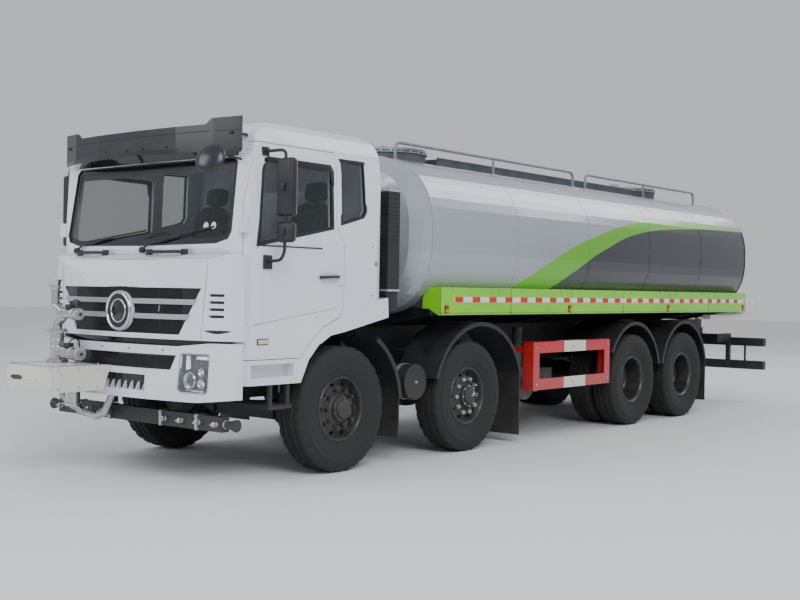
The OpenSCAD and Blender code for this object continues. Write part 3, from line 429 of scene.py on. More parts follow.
# Float glass: thin, faintly green, mirror smooth
GLASS = Finish("tinted_float_glass", "#2c3836", "#2a3533", 500, 0.03, 0.01, opacity=0.26, ior=1.52)
LENS = Finish("clear_lamp_lens", "#a9b1b8", "#a2aab1", 500, 0.05, 0.02, opacity=0.12, ior=1.52)
MIRROR_GLASS = Finish("silvered_mirror", "#c3c8cd", "#bcc1c6", 400, 0.04, 0.02, metallic=1.0)
AMBER = Finish("amber_lens", "#e0780c", "#d06a08", 30, 0.15, coat=0.4, glow=0.15)
TURN_LENS = Finish("pale_turn_lens", "#d9c9aa", "#d2bf9b", 30, 0.12, coat=0.5)
RED_LENS = Finish("red_lens", "#a50f12", "#8f0c10", 30, 0.15, coat=0.4, glow=0.1)
WHITE_TAPE = Finish("reflective_tape_white", "#e6e6e6", "#dcdcdc", 12, 0.35, grain_mm=3, grain_depth_mm=0.1)
RED_TAPE = Finish("reflective_tape_red", "#cf1b22", "#bf161d", 12, 0.35, grain_mm=3, grain_depth_mm=0.1)
YELLOW = Finish("hazard_yellow", "#e8b40c", "#d9a508", 200, 0.4, coat=0.2)
# Woven seat cloth under a loose clear cover: soft weave with glints on the folds
SEAT_CLOTH = Finish("seat_cloth", "#53575d", "#464a50", 40, 0.62, 0.2, grain_mm=3, grain_depth_mm=0.5,
                    coat=0.35, sheen=0.3)
LED = Finish("led_white", "#f3f6ff", "#eef2ff", 100, 0.3, glow=0.5)


def ring_faces(count: int, rings: int, closed: bool) -> list[tuple[int, ...]]:
    """Faces between rings of points that follow one another.

    Args:
        count: Points in each ring.
        rings: How many rings there are.
        closed: Whether the last ring joins the first.

    Returns:
        The corner numbers of each face.
    """
    return [
        (k * count + i, k * count + (i + 1) % count, (k + 1) % rings * count + (i + 1) % count,
         (k + 1) % rings * count + i)
        for k in range(rings if closed else rings - 1)
        for i in range(count)
    ]


class Shape:
    """A piece under construction: solids and their finishes, gathered into one mesh."""

    def __init__(self, name: str) -> None:
        """Starts an empty piece.

        Args:
            name: The piece's name.
        """
        self.name = name
        self.bm = bmesh.new()
        self.finishes: list[Finish] = []

    def _index(self, finish: Finish) -> int:
        """The slot number of a finish, added when it is new."""
        if finish not in self.finishes:
            self.finishes.append(finish)
        return self.finishes.index(finish)

    def add(self, verts: Iterable[Point], faces: Iterable[Sequence[int]], finish: Finish) -> list:
        """Adds loose geometry.

        Args:
            verts: Points.
            faces: Corner numbers of each face.
            finish: The faces' finish.

        Returns:
            The new faces.
        """
        made = [self.bm.verts.new(v) for v in verts]
        slot = self._index(finish)
        new = []
        for face in faces:
            new.append(self.bm.faces.new([made[i] for i in face]))
            new[-1].material_index = slot
        return new

    def box(self, low: Point, high: Point, finish: Finish, soft: float = 0.0, segments: int = 2) -> "Shape":
        """Adds a block between two corners.

        Args:
            low: Lowest corner.
            high: Highest corner.
            finish: Its finish.
            soft: Radius of its rounded edges.
            segments: Steps of the rounding.

        Returns:
            The piece.
        """
        xs, ys, zs = zip(low, high)
        verts = [(x, y, z) for z in sorted(zs) for y in sorted(ys) for x in sorted(xs)]
        faces = [(0, 2, 3, 1), (4, 5, 7, 6), (0, 1, 5, 4), (1, 3, 7, 5), (3, 2, 6, 7), (2, 0, 4, 6)]
        new = self.add(verts, faces, finish)
        if soft:
            edges = list({e for f in new for e in f.edges})
            bmesh.ops.bevel(self.bm, geom=edges, offset=soft, segments=segments, profile=0.5, affect="EDGES",
                            material=-1)
        return self

    def prism(self, outline: Sequence[Point], place: Callable, low: float, high: float, finish: Finish,
              soft: float = 0.0) -> "Shape":
        """Adds a straight prism over a flat outline.

        Args:
            outline: The outline's corners.
            place: Turns (u, v, depth) to a point of the frame.
            low: Depth of one end.
            high: Depth of the other end.
            finish: Its finish.
            soft: Radius of its rounded edges.

        Returns:
            The piece.
        """
        n = len(outline)
        verts = [place(u, v, w) for w in (low, high) for u, v in outline]
        faces = [tuple(range(n)), tuple(range(2 * n - 1, n - 1, -1))]
        faces += [(i, i + n, (i + 1) % n + n, (i + 1) % n) for i in range(n)]
        new = self.add(verts, faces, finish)
        bmesh.ops.recalc_face_normals(self.bm, faces=new)
        if soft:
            edges = list({e for f in new[:2] for e in f.edges})
            bmesh.ops.bevel(self.bm, geom=edges, offset=soft, segments=2, profile=0.5, affect="EDGES",
                            material=-1)
        return self

    def tube(self, path: Sequence[Point], radius: float, finish: Finish, sides: int = 16,
             bend: float = 0.0, radii: Sequence[float] | None = None) -> "Shape":
        """Adds a round tube along points, with its bends rounded.

        Args:
            path: The tube's points.
            radius: Its radius.
            finish: Its finish.
            sides: Sides of its section.
            bend: Radius of the rounded bends.
            radii: A radius for each point, in place of one radius.

        Returns:
            The piece.
        """
        points = rounded_path([Vector(p) for p in path], bend) if bend else [Vector(p) for p in path]
        sizes = list(radii) if radii else [radius] * len(points)
        rings = []
        side = None
        for k, p in enumerate(points):
            ahead = (points[min(k + 1, len(points) - 1)] - points[max(k - 1, 0)]).normalized()
            if side is None:
                side = ahead.orthogonal().normalized()
            side = (side - ahead * side.dot(ahead)).normalized()
            other = ahead.cross(side)
            turns = [2 * math.pi * i / sides for i in range(sides)]
            rings.append([p + (side * math.cos(a) + other * math.sin(a)) * sizes[k] for a in turns])
        self.loft(rings, finish)
        return self

    def loft(self, rings: Sequence[Sequence[Point]], finish: Finish, closed: bool = False) -> "Shape":
        """Adds a skin over rings with the same number of points.

        Args:
            rings: The rings in order.
            finish: The skin's finish.
            closed: Whether the last ring joins the first, in place of a cap on both ends.

        Returns:
            The piece.
        """
        n = len(rings[0])
        faces = ring_faces(n, len(rings), closed)
        if not closed:
            last = (len(rings) - 1) * n
            faces += [tuple(range(n - 1, -1, -1)), tuple(range(last, last + n))]
        new = self.add([v for ring in rings for v in ring], faces, finish)
        bmesh.ops.recalc_face_normals(self.bm, faces=new)
        return self

    def turn(self, profile: Sequence[tuple[float, float]], centre: Point, axis: Point, finish: Finish,
             steps: int = 48, wave: Callable[[int, int], float] | None = None) -> "Shape":
        """Turns a closed profile about an axis.

        Args:
            profile: Points as (radius, distance along the axis), first to last closed.
            centre: The axis's zero point.
            axis: Its direction.
            finish: The finish.
            steps: Steps round the axis.
            wave: Change of radius for a step and a profile point.

        Returns:
            The piece.
        """
        ahead = Vector(axis).normalized()
        side = ahead.orthogonal().normalized()
        other = ahead.cross(side)
        middle = Vector(centre)
        n = len(profile)
        verts = []
        for s in range(steps):
            a = 2 * math.pi * s / steps
            out = side * math.cos(a) + other * math.sin(a)
            for k, (r, d) in enumerate(profile):
                verts.append(middle + out * (r + (wave(s, k) if wave else 0.0)) + ahead * d)
        new = self.add(verts, ring_faces(n, steps, True), finish)
        bmesh.ops.remove_doubles(self.bm, verts=list({v for f in new for v in f.verts}), dist=SAME_POINT)
        live = [f for f in new if f.is_valid]
        bmesh.ops.recalc_face_normals(self.bm, faces=live)
        return self

    def disc(self, centre: Point, axis: Point, radius: float, depth: float, finish: Finish,
             soft: float = 0.002, steps: int = 32) -> "Shape":
        """Adds a round boss whose front edge is rounded.

        Args:
            centre: Middle of its back.
            axis: The way it stands out.
            radius: Its radius.
            depth: How far it stands out.
            finish: Its finish.
            soft: Radius of its front edge.
            steps: Steps round it.

        Returns:
            The piece.
        """
        profile = [(0, 0), (radius, 0), (radius, depth - soft), (radius - soft, depth), (0, depth)]
        return self.turn(profile, centre, axis, finish, steps)

    def take(self, mesh: bpy.types.Mesh, finish: Finish, place: Matrix | None = None) -> "Shape":
        """Adds a finished mesh, such as one that Geometry Nodes made.

        Args:
            mesh: The mesh, removed afterwards.
            finish: Its finish.
            place: Where it goes.

        Returns:
            The piece.
        """
        if place:
            mesh.transform(place)
        before = len(self.bm.faces)
        self.bm.from_mesh(mesh)
        self.bm.faces.ensure_lookup_table()
        slot = self._index(finish)
        for face in self.bm.faces[before:]:
            face.material_index = slot
        bpy.data.meshes.remove(mesh)
        return self

    def both_sides(self) -> "Shape":
        """Adds the piece's mirror image on the truck's other side.

        Returns:
            The piece.
        """
        copy = bmesh.ops.duplicate(self.bm, geom=self.bm.verts[:] + self.bm.edges[:]
                                   + self.bm.faces[:])["geom"]
        for part in copy:
            if isinstance(part, bmesh.types.BMVert):
                part.co.x = -part.co.x
        bmesh.ops.reverse_faces(self.bm, faces=[g for g in copy if isinstance(g, bmesh.types.BMFace)])
        return self

    def mesh(self) -> bpy.types.Mesh:
        """The finished mesh with its creases marked.

        Returns:
            The mesh.
        """
        self.bm.normal_update()
        for edge in self.bm.edges:
            edge.smooth = len(edge.link_faces) == 2 and edge.calc_face_angle(0.0) < SHARP
        for face in self.bm.faces:
            face.smooth = True
        mesh = bpy.data.meshes.new(self.name)
        self.bm.to_mesh(mesh)
        self.bm.free()
        for finish in self.finishes:
            mesh.materials.append(finish.material())
        return mesh

    def ride(self, body: str, slot: str, *nodes: str) -> bpy.types.Object:
        """Makes the object, says what it rides on and reports it.

        Args:
            body: The body that it moves with.
            slot: The record's material slot; not used.
            nodes: Nodes that it stands for.

        Returns:
            The object.
        """
        piece = bpy.data.objects.new(self.name, self.mesh())
        bpy.context.scene.collection.objects.link(piece)
        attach(piece, body)
        if nodes:
            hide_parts(*nodes)
        LOG.info("%s: %d faces on %s", piece.name, len(piece.data.polygons), body)
        return piece


def rounded_path(points: list[Vector], bend: float, steps: int = 5) -> list[Vector]:
    """Rounds the corners of a path.

    Args:
        points: The path's corners.
        bend: Distance at which a bend begins before its corner.
        steps: Points in each bend.

    Returns:
        The rounded path.
    """
    path = [points[0]]
    for before, corner, after in zip(points, points[1:], points[2:]):
        back, on = before - corner, after - corner
        reach = min(bend, back.length * 0.49, on.length * 0.49)
        start, end = corner + back.normalized() * reach, corner + on.normalized() * reach
        for i in range(steps + 1):
            t = i / steps
            path.append(start * (1 - t) ** 2 + corner * 2 * t * (1 - t) + end * t**2)
    return path + [points[-1]]


def side_place(u: float, v: float, w: float) -> Vector:
    """Places an outline of (metres back, metres up) at a distance to the left."""
    return at(w, u, v)


def front_place(u: float, v: float, w: float) -> Vector:
    """Places an outline of (metres left, metres up) at a distance back."""
    return at(u, w, v)


def top_place(u: float, v: float, w: float) -> Vector:
    """Places an outline of (metres left, metres back) at a height."""
    return at(u, v, w)


class Pattern(Enum):
    """The ways in which small parts are repeated."""

    RING = "ring"
    ROW = "row"
    GRID = "grid"


class Repeater:
    """Geometry Nodes trees that repeat a small part, with their sizes as inputs."""

    def __init__(self) -> None:
        """Builds one tree for each pattern."""
        self.trees = {pattern: self._tree(pattern) for pattern in Pattern}

    def _tree(self, pattern: Pattern) -> bpy.types.NodeTree:
        """Builds the tree of one pattern.

        Args:
            pattern: The pattern.

        Returns:
            The tree.
        """
        tree = bpy.data.node_groups.new(f"repeat_{pattern.value}", "GeometryNodeTree")
        face = tree.interface
        face.new_socket(name="Geometry", in_out="OUTPUT", socket_type="NodeSocketGeometry")
        for name, kind in (("Part", "Object"), ("Count", "Int"), ("Rows", "Int"), ("Radius", "Float"),
                           ("Step", "Vector"), ("Row Step", "Vector"), ("Finish", "Material")):
            face.new_socket(name=name, in_out="INPUT", socket_type=f"NodeSocket{kind}")
        given = add_node(tree, "NodeGroupInput").outputs
        part = add_node(tree, "GeometryNodeObjectInfo", {"Object": given["Part"]}).outputs["Geometry"]
        if pattern is Pattern.RING:
            spots = add_node(tree, "GeometryNodeMeshCircle", {"Vertices": given["Count"],
                                                              "Radius": given["Radius"]})
            number = add_node(tree, "GeometryNodeInputIndex").outputs[0]
            angle = math_node(tree, "DIVIDE", math_node(tree, "MULTIPLY", number, 2 * math.pi),
                              given["Count"])
            turn = add_node(tree, "ShaderNodeCombineXYZ", {"Z": angle}).outputs[0]
        else:
            spots = add_node(tree, "GeometryNodeMeshLine", {"Count": given["Count"], "Offset": given["Step"]})
            turn = None
        placed = {"Points": spots.outputs["Mesh"], "Instance": part}
        if turn:
            placed["Rotation"] = turn
        many = add_node(tree, "GeometryNodeInstanceOnPoints", placed).outputs[0]
        if pattern is Pattern.GRID:
            rows = add_node(tree, "GeometryNodeMeshLine", {"Count": given["Rows"],
                                                           "Offset": given["Row Step"]})
            row = add_node(tree, "GeometryNodeRealizeInstances", {0: many}).outputs[0]
            many = add_node(
                tree, "GeometryNodeInstanceOnPoints", {"Points": rows.outputs["Mesh"], "Instance": row}
            ).outputs[0]
        solid = add_node(tree, "GeometryNodeRealizeInstances", {0: many}).outputs[0]
        dressed = add_node(tree, "GeometryNodeSetMaterial", {"Geometry": solid, "Material": given["Finish"]})
        add_node(tree, "NodeGroupOutput", {0: dressed.outputs[0]})
        return tree

    def make(self, pattern: Pattern, part: Shape, finish: Finish, count: int, rows: int = 1,
             radius: float = 0.0, step: Point = (0, 0, 0), row_step: Point = (0, 0, 0)) -> bpy.types.Mesh:
        """Repeats a small part.

        Args:
            pattern: How it is repeated.
            part: The part, drawn round the origin.
            finish: Its finish.
            count: How many stand in a row or a ring.
            rows: How many rows a grid has.
            radius: Radius of a ring.
            step: From one to the next in a row.
            row_step: From one row to the next.

        Returns:
            The repeated parts as one mesh.
        """
        source = bpy.data.objects.new("repeat_part", part.mesh())
        host = bpy.data.objects.new("repeat_host", bpy.data.meshes.new("repeat_host"))
        for thing in (source, host):
            bpy.context.scene.collection.objects.link(thing)
        modifier = host.modifiers.new("Repeat", "NODES")
        modifier.node_group = self.trees[pattern]
        values = {"Part": source, "Count": count, "Rows": rows, "Radius": radius, "Step": Vector(step),
                  "Row Step": Vector(row_step), "Finish": finish.material()}
        for item in modifier.node_group.interface.items_tree:
            if item.in_out == "INPUT":
                modifier[item.identifier] = values[item.name]
        bpy.context.view_layer.update()
        graph = bpy.context.evaluated_depsgraph_get()
        mesh = bpy.data.meshes.new_from_object(host.evaluated_get(graph))
        for thing in (host, source):
            bpy.data.objects.remove(thing)
        return mesh


REPEAT = Repeater()


def hex_nut(width: float, height: float, finish: Finish, stud: float = 0.0) -> Shape:
    """A hexagon nut that stands on the origin, facing +Z.

    Args:
        width: Width over its corners.
        height: Its height.
        finish: Its finish.
        stud: How far its stud stands out of it.

    Returns:
        The nut.
    """
    nut = Shape("nut")
    ring = [(width / 2 * math.cos(k * math.pi / 3), width / 2 * math.sin(k * math.pi / 3)) for k in range(6)]
    nut.prism(ring, lambda u, v, w: Vector((u, v, w)), 0, height, finish)
    if stud:
        nut.turn([(0, 0), (width * 0.26, 0), (width * 0.26, height + stud), (0, height + stud)], (0, 0, 0),
                 (0, 0, 1), finish, 10)
    return nut


def facing(where: Point, axis: Point) -> Matrix:
    """Places something drawn on the origin, facing +Z.

    Args:
        where: Its new place.
        axis: The way that it faces.

    Returns:
        The placing matrix.
    """
    return Matrix.Translation(where) @ Vector(axis).to_track_quat("Z", "Y").to_matrix().to_4x4()


def fasten(shape: Shape, where: Point, axis: Point, width: float, height: float, stud: float = 0.0) -> None:
    """Adds one zinc nut.

    Args:
        shape: The piece that gets it.
        where: The middle of its seat.
        axis: The way that it faces.
        width: Width over its corners.
        height: Its height.
        stud: How far its stud stands out of it.
    """
    shape.take(hex_nut(width, height, ZINC, stud).mesh(), ZINC, facing(where, axis))


def nut_ring(shape: Shape, nut: Shape, finish: Finish, count: int, radius: float, where: Point,
             axis: Point) -> None:
    """Adds a ring of nuts.

    Args:
        shape: The piece that gets them.
        nut: One nut, drawn on the origin.
        finish: Their finish.
        count: How many there are.
        radius: The ring's radius.
        where: The ring's centre.
        axis: The way that they face.
    """
    shape.take(REPEAT.make(Pattern.RING, nut, finish, count, radius=radius), finish, facing(where, axis))


def chequer(shape: Shape, finish: Finish, counts: tuple[int, int], steps: tuple[float, float],
            where: Point) -> None:
    """Adds the raised bars of chequer plate, in pairs that lie crosswise.

    Args:
        shape: The piece that gets them.
        finish: Their finish.
        counts: Pairs across the truck and along it.
        steps: From one pair to the next, across and along.
        where: The first pair's place.
    """
    tear = Shape("tear")
    for s in (1, -1):
        tear.tube([(-0.011 + 0.02 * s, -0.011 * s, 0), (0.011 + 0.02 * s, 0.011 * s, 0)], 0.0035, finish, 6)
    grid = REPEAT.make(Pattern.GRID, tear, finish, counts[0], counts[1], step=(steps[0], 0, 0),
                       row_step=(0, steps[1], 0))
    shape.take(grid, finish, Matrix.Translation(where))


@dataclass
class Wheels:
    """Eight wheel bodies: tyres with lugs and grooves, disc wheels with hand holes, hubs and nuts."""

    tyre_half: tuple = (
        (0.2583, 0.098), (0.272, 0.106), (0.296, 0.111), (0.300, 0.115), (0.306, 0.114), (0.335, 0.127),
        (0.375, 0.1415), (0.410, 0.146), (0.440, 0.1465), (0.444, 0.1485), (0.456, 0.1482), (0.460, 0.1455),
        (0.484, 0.141), (0.500, 0.136), (0.518, 0.131), (0.533, 0.124), (0.5395, 0.112), (0.5405, 0.078),
        (0.5290, 0.074), (0.5290, 0.062), (0.5415, 0.058), (0.5420, 0.024), (0.5300, 0.020), (0.5300, 0.008),
        (0.5425, 0.004),
    )
    front_rim: tuple = (
        (0.278, -0.110), (0.278, -0.100), (0.262, -0.097), (0.257, -0.085), (0.250, 0.0), (0.257, 0.085),
        (0.262, 0.097), (0.278, 0.100), (0.281, 0.108), (0.276, 0.113), (0.264, 0.112), (0.252, 0.098),
        (0.247, 0.070), (0.238, 0.056), (0.215, 0.058), (0.192, 0.076), (0.175, 0.084), (0.140, 0.086),
        (0.140, 0.072), (0.172, 0.070), (0.190, 0.060), (0.213, 0.042), (0.240, 0.040), (0.244, 0.030),
        (0.240, -0.085), (0.250, -0.108),
    )
    rear_rim: tuple = (
        (0.278, 0.054), (0.278, 0.064), (0.262, 0.067), (0.257, 0.080), (0.252, 0.164), (0.257, 0.250),
        (0.262, 0.261), (0.278, 0.264), (0.281, 0.272), (0.276, 0.277), (0.264, 0.276), (0.250, 0.262),
        (0.244, 0.244), (0.242, 0.100), (0.236, 0.060), (0.215, 0.040), (0.190, 0.024), (0.175, 0.016),
        (0.140, 0.014), (0.140, 0.002), (0.176, 0.002), (0.200, 0.008), (0.222, 0.022), (0.238, 0.030),
        (0.246, 0.045), (0.250, 0.054),
    )
    front_hub: tuple = (
        (0, 0.030), (0.139, 0.030), (0.139, 0.078), (0.122, 0.088), (0.112, 0.096), (0.108, 0.122),
        (0.098, 0.130), (0.084, 0.132), (0.080, 0.150), (0.072, 0.157), (0.040, 0.161), (0, 0.162),
    )
    rear_hub: tuple = (
        (0, -0.050), (0.139, -0.050), (0.139, 0.012), (0.126, 0.030), (0.120, 0.096), (0.112, 0.112),
        (0.092, 0.117), (0.088, 0.134), (0.070, 0.144), (0, 0.147),
    )
    drum: tuple = ((0.08, -0.19), (0.205, -0.19), (0.212, -0.18), (0.212, -0.165), (0.205, -0.155),
                   (0.205, -0.02), (0.19, 0.0), (0.08, 0.0))
    twin_half: float = 0.164
    steps: int = 120
    lug_steps: int = 4
    lug_depth: float = 0.011
    nut_circle: float = 0.1675
    nuts: int = 10
    bolt_circle: float = 0.099
    bolts: int = 8
    shoulder_r: float = 0.512
    crown_half: float = 0.07
    hole_circle: float = 0.215
    hole_r: float = 0.021

    def tyre(self, shape: Shape, centre: Vector, out: Vector) -> None:
        """Adds one tyre.

        Args:
            shape: The piece that gets it.
            centre: Its middle.
            out: The way outwards.
        """
        profile = list(self.tyre_half) + [(r, -d) for r, d in reversed(self.tyre_half)]

        def lugs(step: int, k: int) -> float:
            """Depth of the shoulder's notches."""
            r, d = profile[k]
            on = r > self.shoulder_r and abs(d) > self.crown_half
            shift = self.lug_steps // 2 if d < 0 else 0
            return -self.lug_depth if on and (step + shift) % self.lug_steps == 0 else 0.0

        shape.turn(profile, centre, out, TYRE, self.steps, lugs)

    def holed(self, profile: Sequence[tuple[float, float]], reach: tuple[float, float]) -> bpy.types.Mesh:
        """Turns a disc wheel about X and cuts its hand holes.

        Args:
            profile: The wheel's closed profile.
            reach: Where the holes begin and end along the axle.

        Returns:
            The wheel's mesh, round the origin.
        """
        wheel = Shape("disc_wheel")
        wheel.turn(profile, (0, 0, 0), (1, 0, 0), RIM_BLACK, 80)
        drill = Shape("drill")
        drill.turn([(0, reach[0]), (self.hole_r, reach[0]), (self.hole_r, reach[1]), (0, reach[1])],
                   (0, 0, 0), (0, 0, 1), RIM_BLACK, 16)
        ring = REPEAT.make(Pattern.RING, drill, RIM_BLACK, self.nuts, radius=self.hole_circle)
        ring.transform(facing((0, 0, 0), (1, 0, 0)))
        body = bpy.data.objects.new("disc_wheel", wheel.mesh())
        cutter = bpy.data.objects.new("drills", ring)
        for thing in (body, cutter):
            bpy.context.scene.collection.objects.link(thing)
        cut = body.modifiers.new("Holes", "BOOLEAN")
        cut.operation, cut.object, cut.solver = "DIFFERENCE", cutter, "EXACT"
        bpy.context.view_layer.update()
        mesh = bpy.data.meshes.new_from_object(body.evaluated_get(bpy.context.evaluated_depsgraph_get()))
        for thing in (body, cutter):
            bpy.data.objects.remove(thing)
        return mesh

    def fittings(self, shape: Shape, centre: Vector, out: Vector, face: float, hub: Sequence,
                 bolt_face: float, finish: Finish) -> None:
        """Adds a hub with its wheel nuts and cover bolts.

        Args:
            shape: The piece that gets them.
            centre: The wheel's middle.
            out: The way outwards.
            face: Where the wheel nuts sit.
            hub: The hub's profile.
            bolt_face: Where the cover bolts sit.
            finish: The nuts' finish.
        """
        shape.turn(hub, centre, out, FORGED, 40)
        nut_ring(shape, hex_nut(0.040, 0.024, finish, 0.012), finish, self.nuts, self.nut_circle,
                 centre + out * face, out)
        nut_ring(shape, hex_nut(0.019, 0.009, finish), finish, self.bolts, self.bolt_circle,
                 centre + out * bolt_face, out)

    def build(self) -> None:
        """Builds all eight wheel bodies."""
        front = self.holed(self.front_rim, (0.02, 0.12))
        rear = self.holed(self.rear_rim, (-0.02, 0.08))
        for side, sign in (("left", 1.0), ("right", -1.0)):
            out = Vector((sign, 0, 0))
            turn = Matrix.Rotation(0 if sign > 0 else math.pi, 4, "Z")
            for axle in (1, 2, 3, 4):
                body = f"{side}_wheel_{axle}"
                centre = JOINT_AT[f"{body}_spin"]
                twin = axle > 2
                tyres = Shape(f"{body}_tyre_detail")
                wheel = Shape(f"{body}_disc_detail")
                place = Matrix.Translation(centre) @ turn
                if twin:
                    for s in (1, -1):
                        self.tyre(tyres, centre + out * self.twin_half * s, out)
                    wheel.take(rear.copy(), RIM_BLACK, place)
                    wheel.take(rear.copy(), RIM_BLACK, place @ Matrix.Rotation(math.pi, 4, "Z"))
                    self.fittings(wheel, centre, out, 0.014, self.rear_hub, 0.112, FORGED)
                    wheel.turn(self.drum, centre, out, CAST_GREY, 48)
                else:
                    self.tyre(tyres, centre, out)
                    wheel.take(front.copy(), RIM_BLACK, place)
                    self.fittings(wheel, centre, out, 0.086, self.front_hub, 0.128, ZINC if axle == 2
                                  else FORGED)
                    wheel.turn([(r, d + 0.06) for r, d in self.drum], centre, out, CAST_GREY, 48)
                plural = "s" if twin else ""
                tyres.ride(body, "tyre_rubber", f"{side}_tyre{plural}_{axle}")
                wheel.ride(body, "rim_black", f"{side}_rim{plural}_{axle}")
        for mesh in (front, rear):
            bpy.data.meshes.remove(mesh)


def along(points: Sequence[tuple[float, float]]) -> Callable[[float], float]:
    """A straight-line curve through points.

    Args:
        points: (place, value) pairs in rising order.

    Returns:
        The function that gives the value at a place.
    """

    def value(u: float) -> float:
        """The curve's value at u."""
        for (a, p), (b, q) in zip(points, points[1:]):
            if u <= b:
                return p + (q - p) * max(0.0, (u - a) / (b - a))
        return points[-1][1]

    return value


NOSE_PLAN = along(((0, -1.455), (0.45, -1.435), (0.88, -1.372), (1.08, -1.305), (1.17, -1.255),
                   (1.205, -1.2)))
NOSE_SIDE = along(((1.15, -1.48), (1.40, -1.48), (1.544, -1.44), (1.70, -1.405), (1.79, -1.34),
                   (1.83, -1.275)))
BUMPER_PLAN = along(((0, -1.5), (0.4, -1.485), (0.72, -1.44), (1.02, -1.375), (1.15, -1.3), (1.2, -1.255)))
SCREEN_SIDE = along(((1.88, -1.235), (2.62, -1.130), (2.79, -1.045)))
CAB_SIDE = along(((0.8, 1.205), (1.3, 1.22), (1.95, 1.22), (2.56, 1.195), (2.74, 1.165), (2.85, 1.11)))
SCREEN_HALF = ((0.90, 1.915), (1.04, 1.95), (1.072, 2.01), (1.05, 2.56), (1.01, 2.60))
DOOR_WINDOW = ((-1.062, 1.915), (-1.005, 2.50), (-0.975, 2.585), (-0.225, 2.585), (-0.205, 2.56),
               (-0.205, 2.085))
QUARTER_WINDOW = ((-0.092, 2.125), (-0.092, 2.665), (0.215, 2.665), (0.225, 2.25), (0.190, 2.20))
LAMP = ((0.705, 0.765), (0.735, 0.735), (0.985, 0.735), (1.005, 0.765), (1.02, 1.035), (1.005, 1.05),
        (0.76, 1.05), (0.735, 1.03))


def nose_face(x: float, z: float) -> float:
    """How far forward the nose panel's skin lies at a place."""
    return max(NOSE_PLAN(abs(x)), NOSE_SIDE(z))


def shifted(outline: Sequence[tuple[float, float]], g: float) -> list[tuple[float, float]]:
    """Draws a convex outline in by a distance.

    Args:
        outline: The outline.
        g: The distance, below zero to grow it.

    Returns:
        The new outline, corner for corner.
    """
    count = len(outline)
    turn = sum(
        outline[i][0] * outline[(i + 1) % count][1] - outline[(i + 1) % count][0] * outline[i][1]
        for i in range(count)
    )
    sign = 1.0 if turn > 0 else -1.0
    moved = []
    for i, here in enumerate(outline):
        before, after = Vector(outline[i - 1]), Vector(outline[(i + 1) % count])
        first, second = (Vector(here) - before).normalized(), (after - Vector(here)).normalized()
        inward = Vector((-first.y - second.y, first.x + second.x)) * sign
        inward = inward.normalized() / max(0.35, math.cos(first.angle(second, 0.0) / 2))
        moved.append((here[0] + inward.x * g, here[1] + inward.y * g))
    return moved


def rim(shape: Shape, outer: Sequence[Point], inner: Sequence[Point], place: Callable, front: float,
        back: float, finish: Finish) -> None:
    """Adds a flat ring between two outlines with the same corners.

    Args:
        shape: The piece that gets it.
        outer: The outer outline.
        inner: The inner outline.
        place: Turns (u, v, depth) to a point.
        front: Depth of its outer face.
        back: Depth of its inner face.
        finish: Its finish.
    """
    rings = [[place(u, v, front) for u, v in outer], [place(u, v, front) for u, v in inner],
             [place(u, v, back) for u, v in inner], [place(u, v, back) for u, v in outer]]
    shape.loft(rings, finish, closed=True)


def slab(shape: Shape, face: Callable[[float], float], z: tuple[float, float], half: tuple[float, float],
         depth: float, finish: Finish) -> None:
    """Adds a board that follows the front of the cab from side to side.

    Args:
        shape: The piece that gets it.
        face: Gives metres back for a place to the side.
        z: Its lowest and highest edge.
        half: Half its width at those edges.
        depth: Its thickness.
        finish: Its finish.
    """
    rings = []
    for k in range(BOARD_STEPS + 1):
        f = 2 * k / BOARD_STEPS - 1
        low, high = f * half[0], f * half[1]
        y_low, y_high = face(abs(low)), face(abs(high))
        rings.append([at(low, y_low, z[0]), at(high, y_high, z[1]), at(high, y_high + depth, z[1]),
                      at(low, y_low + depth, z[0])])
    shape.loft(rings, finish)


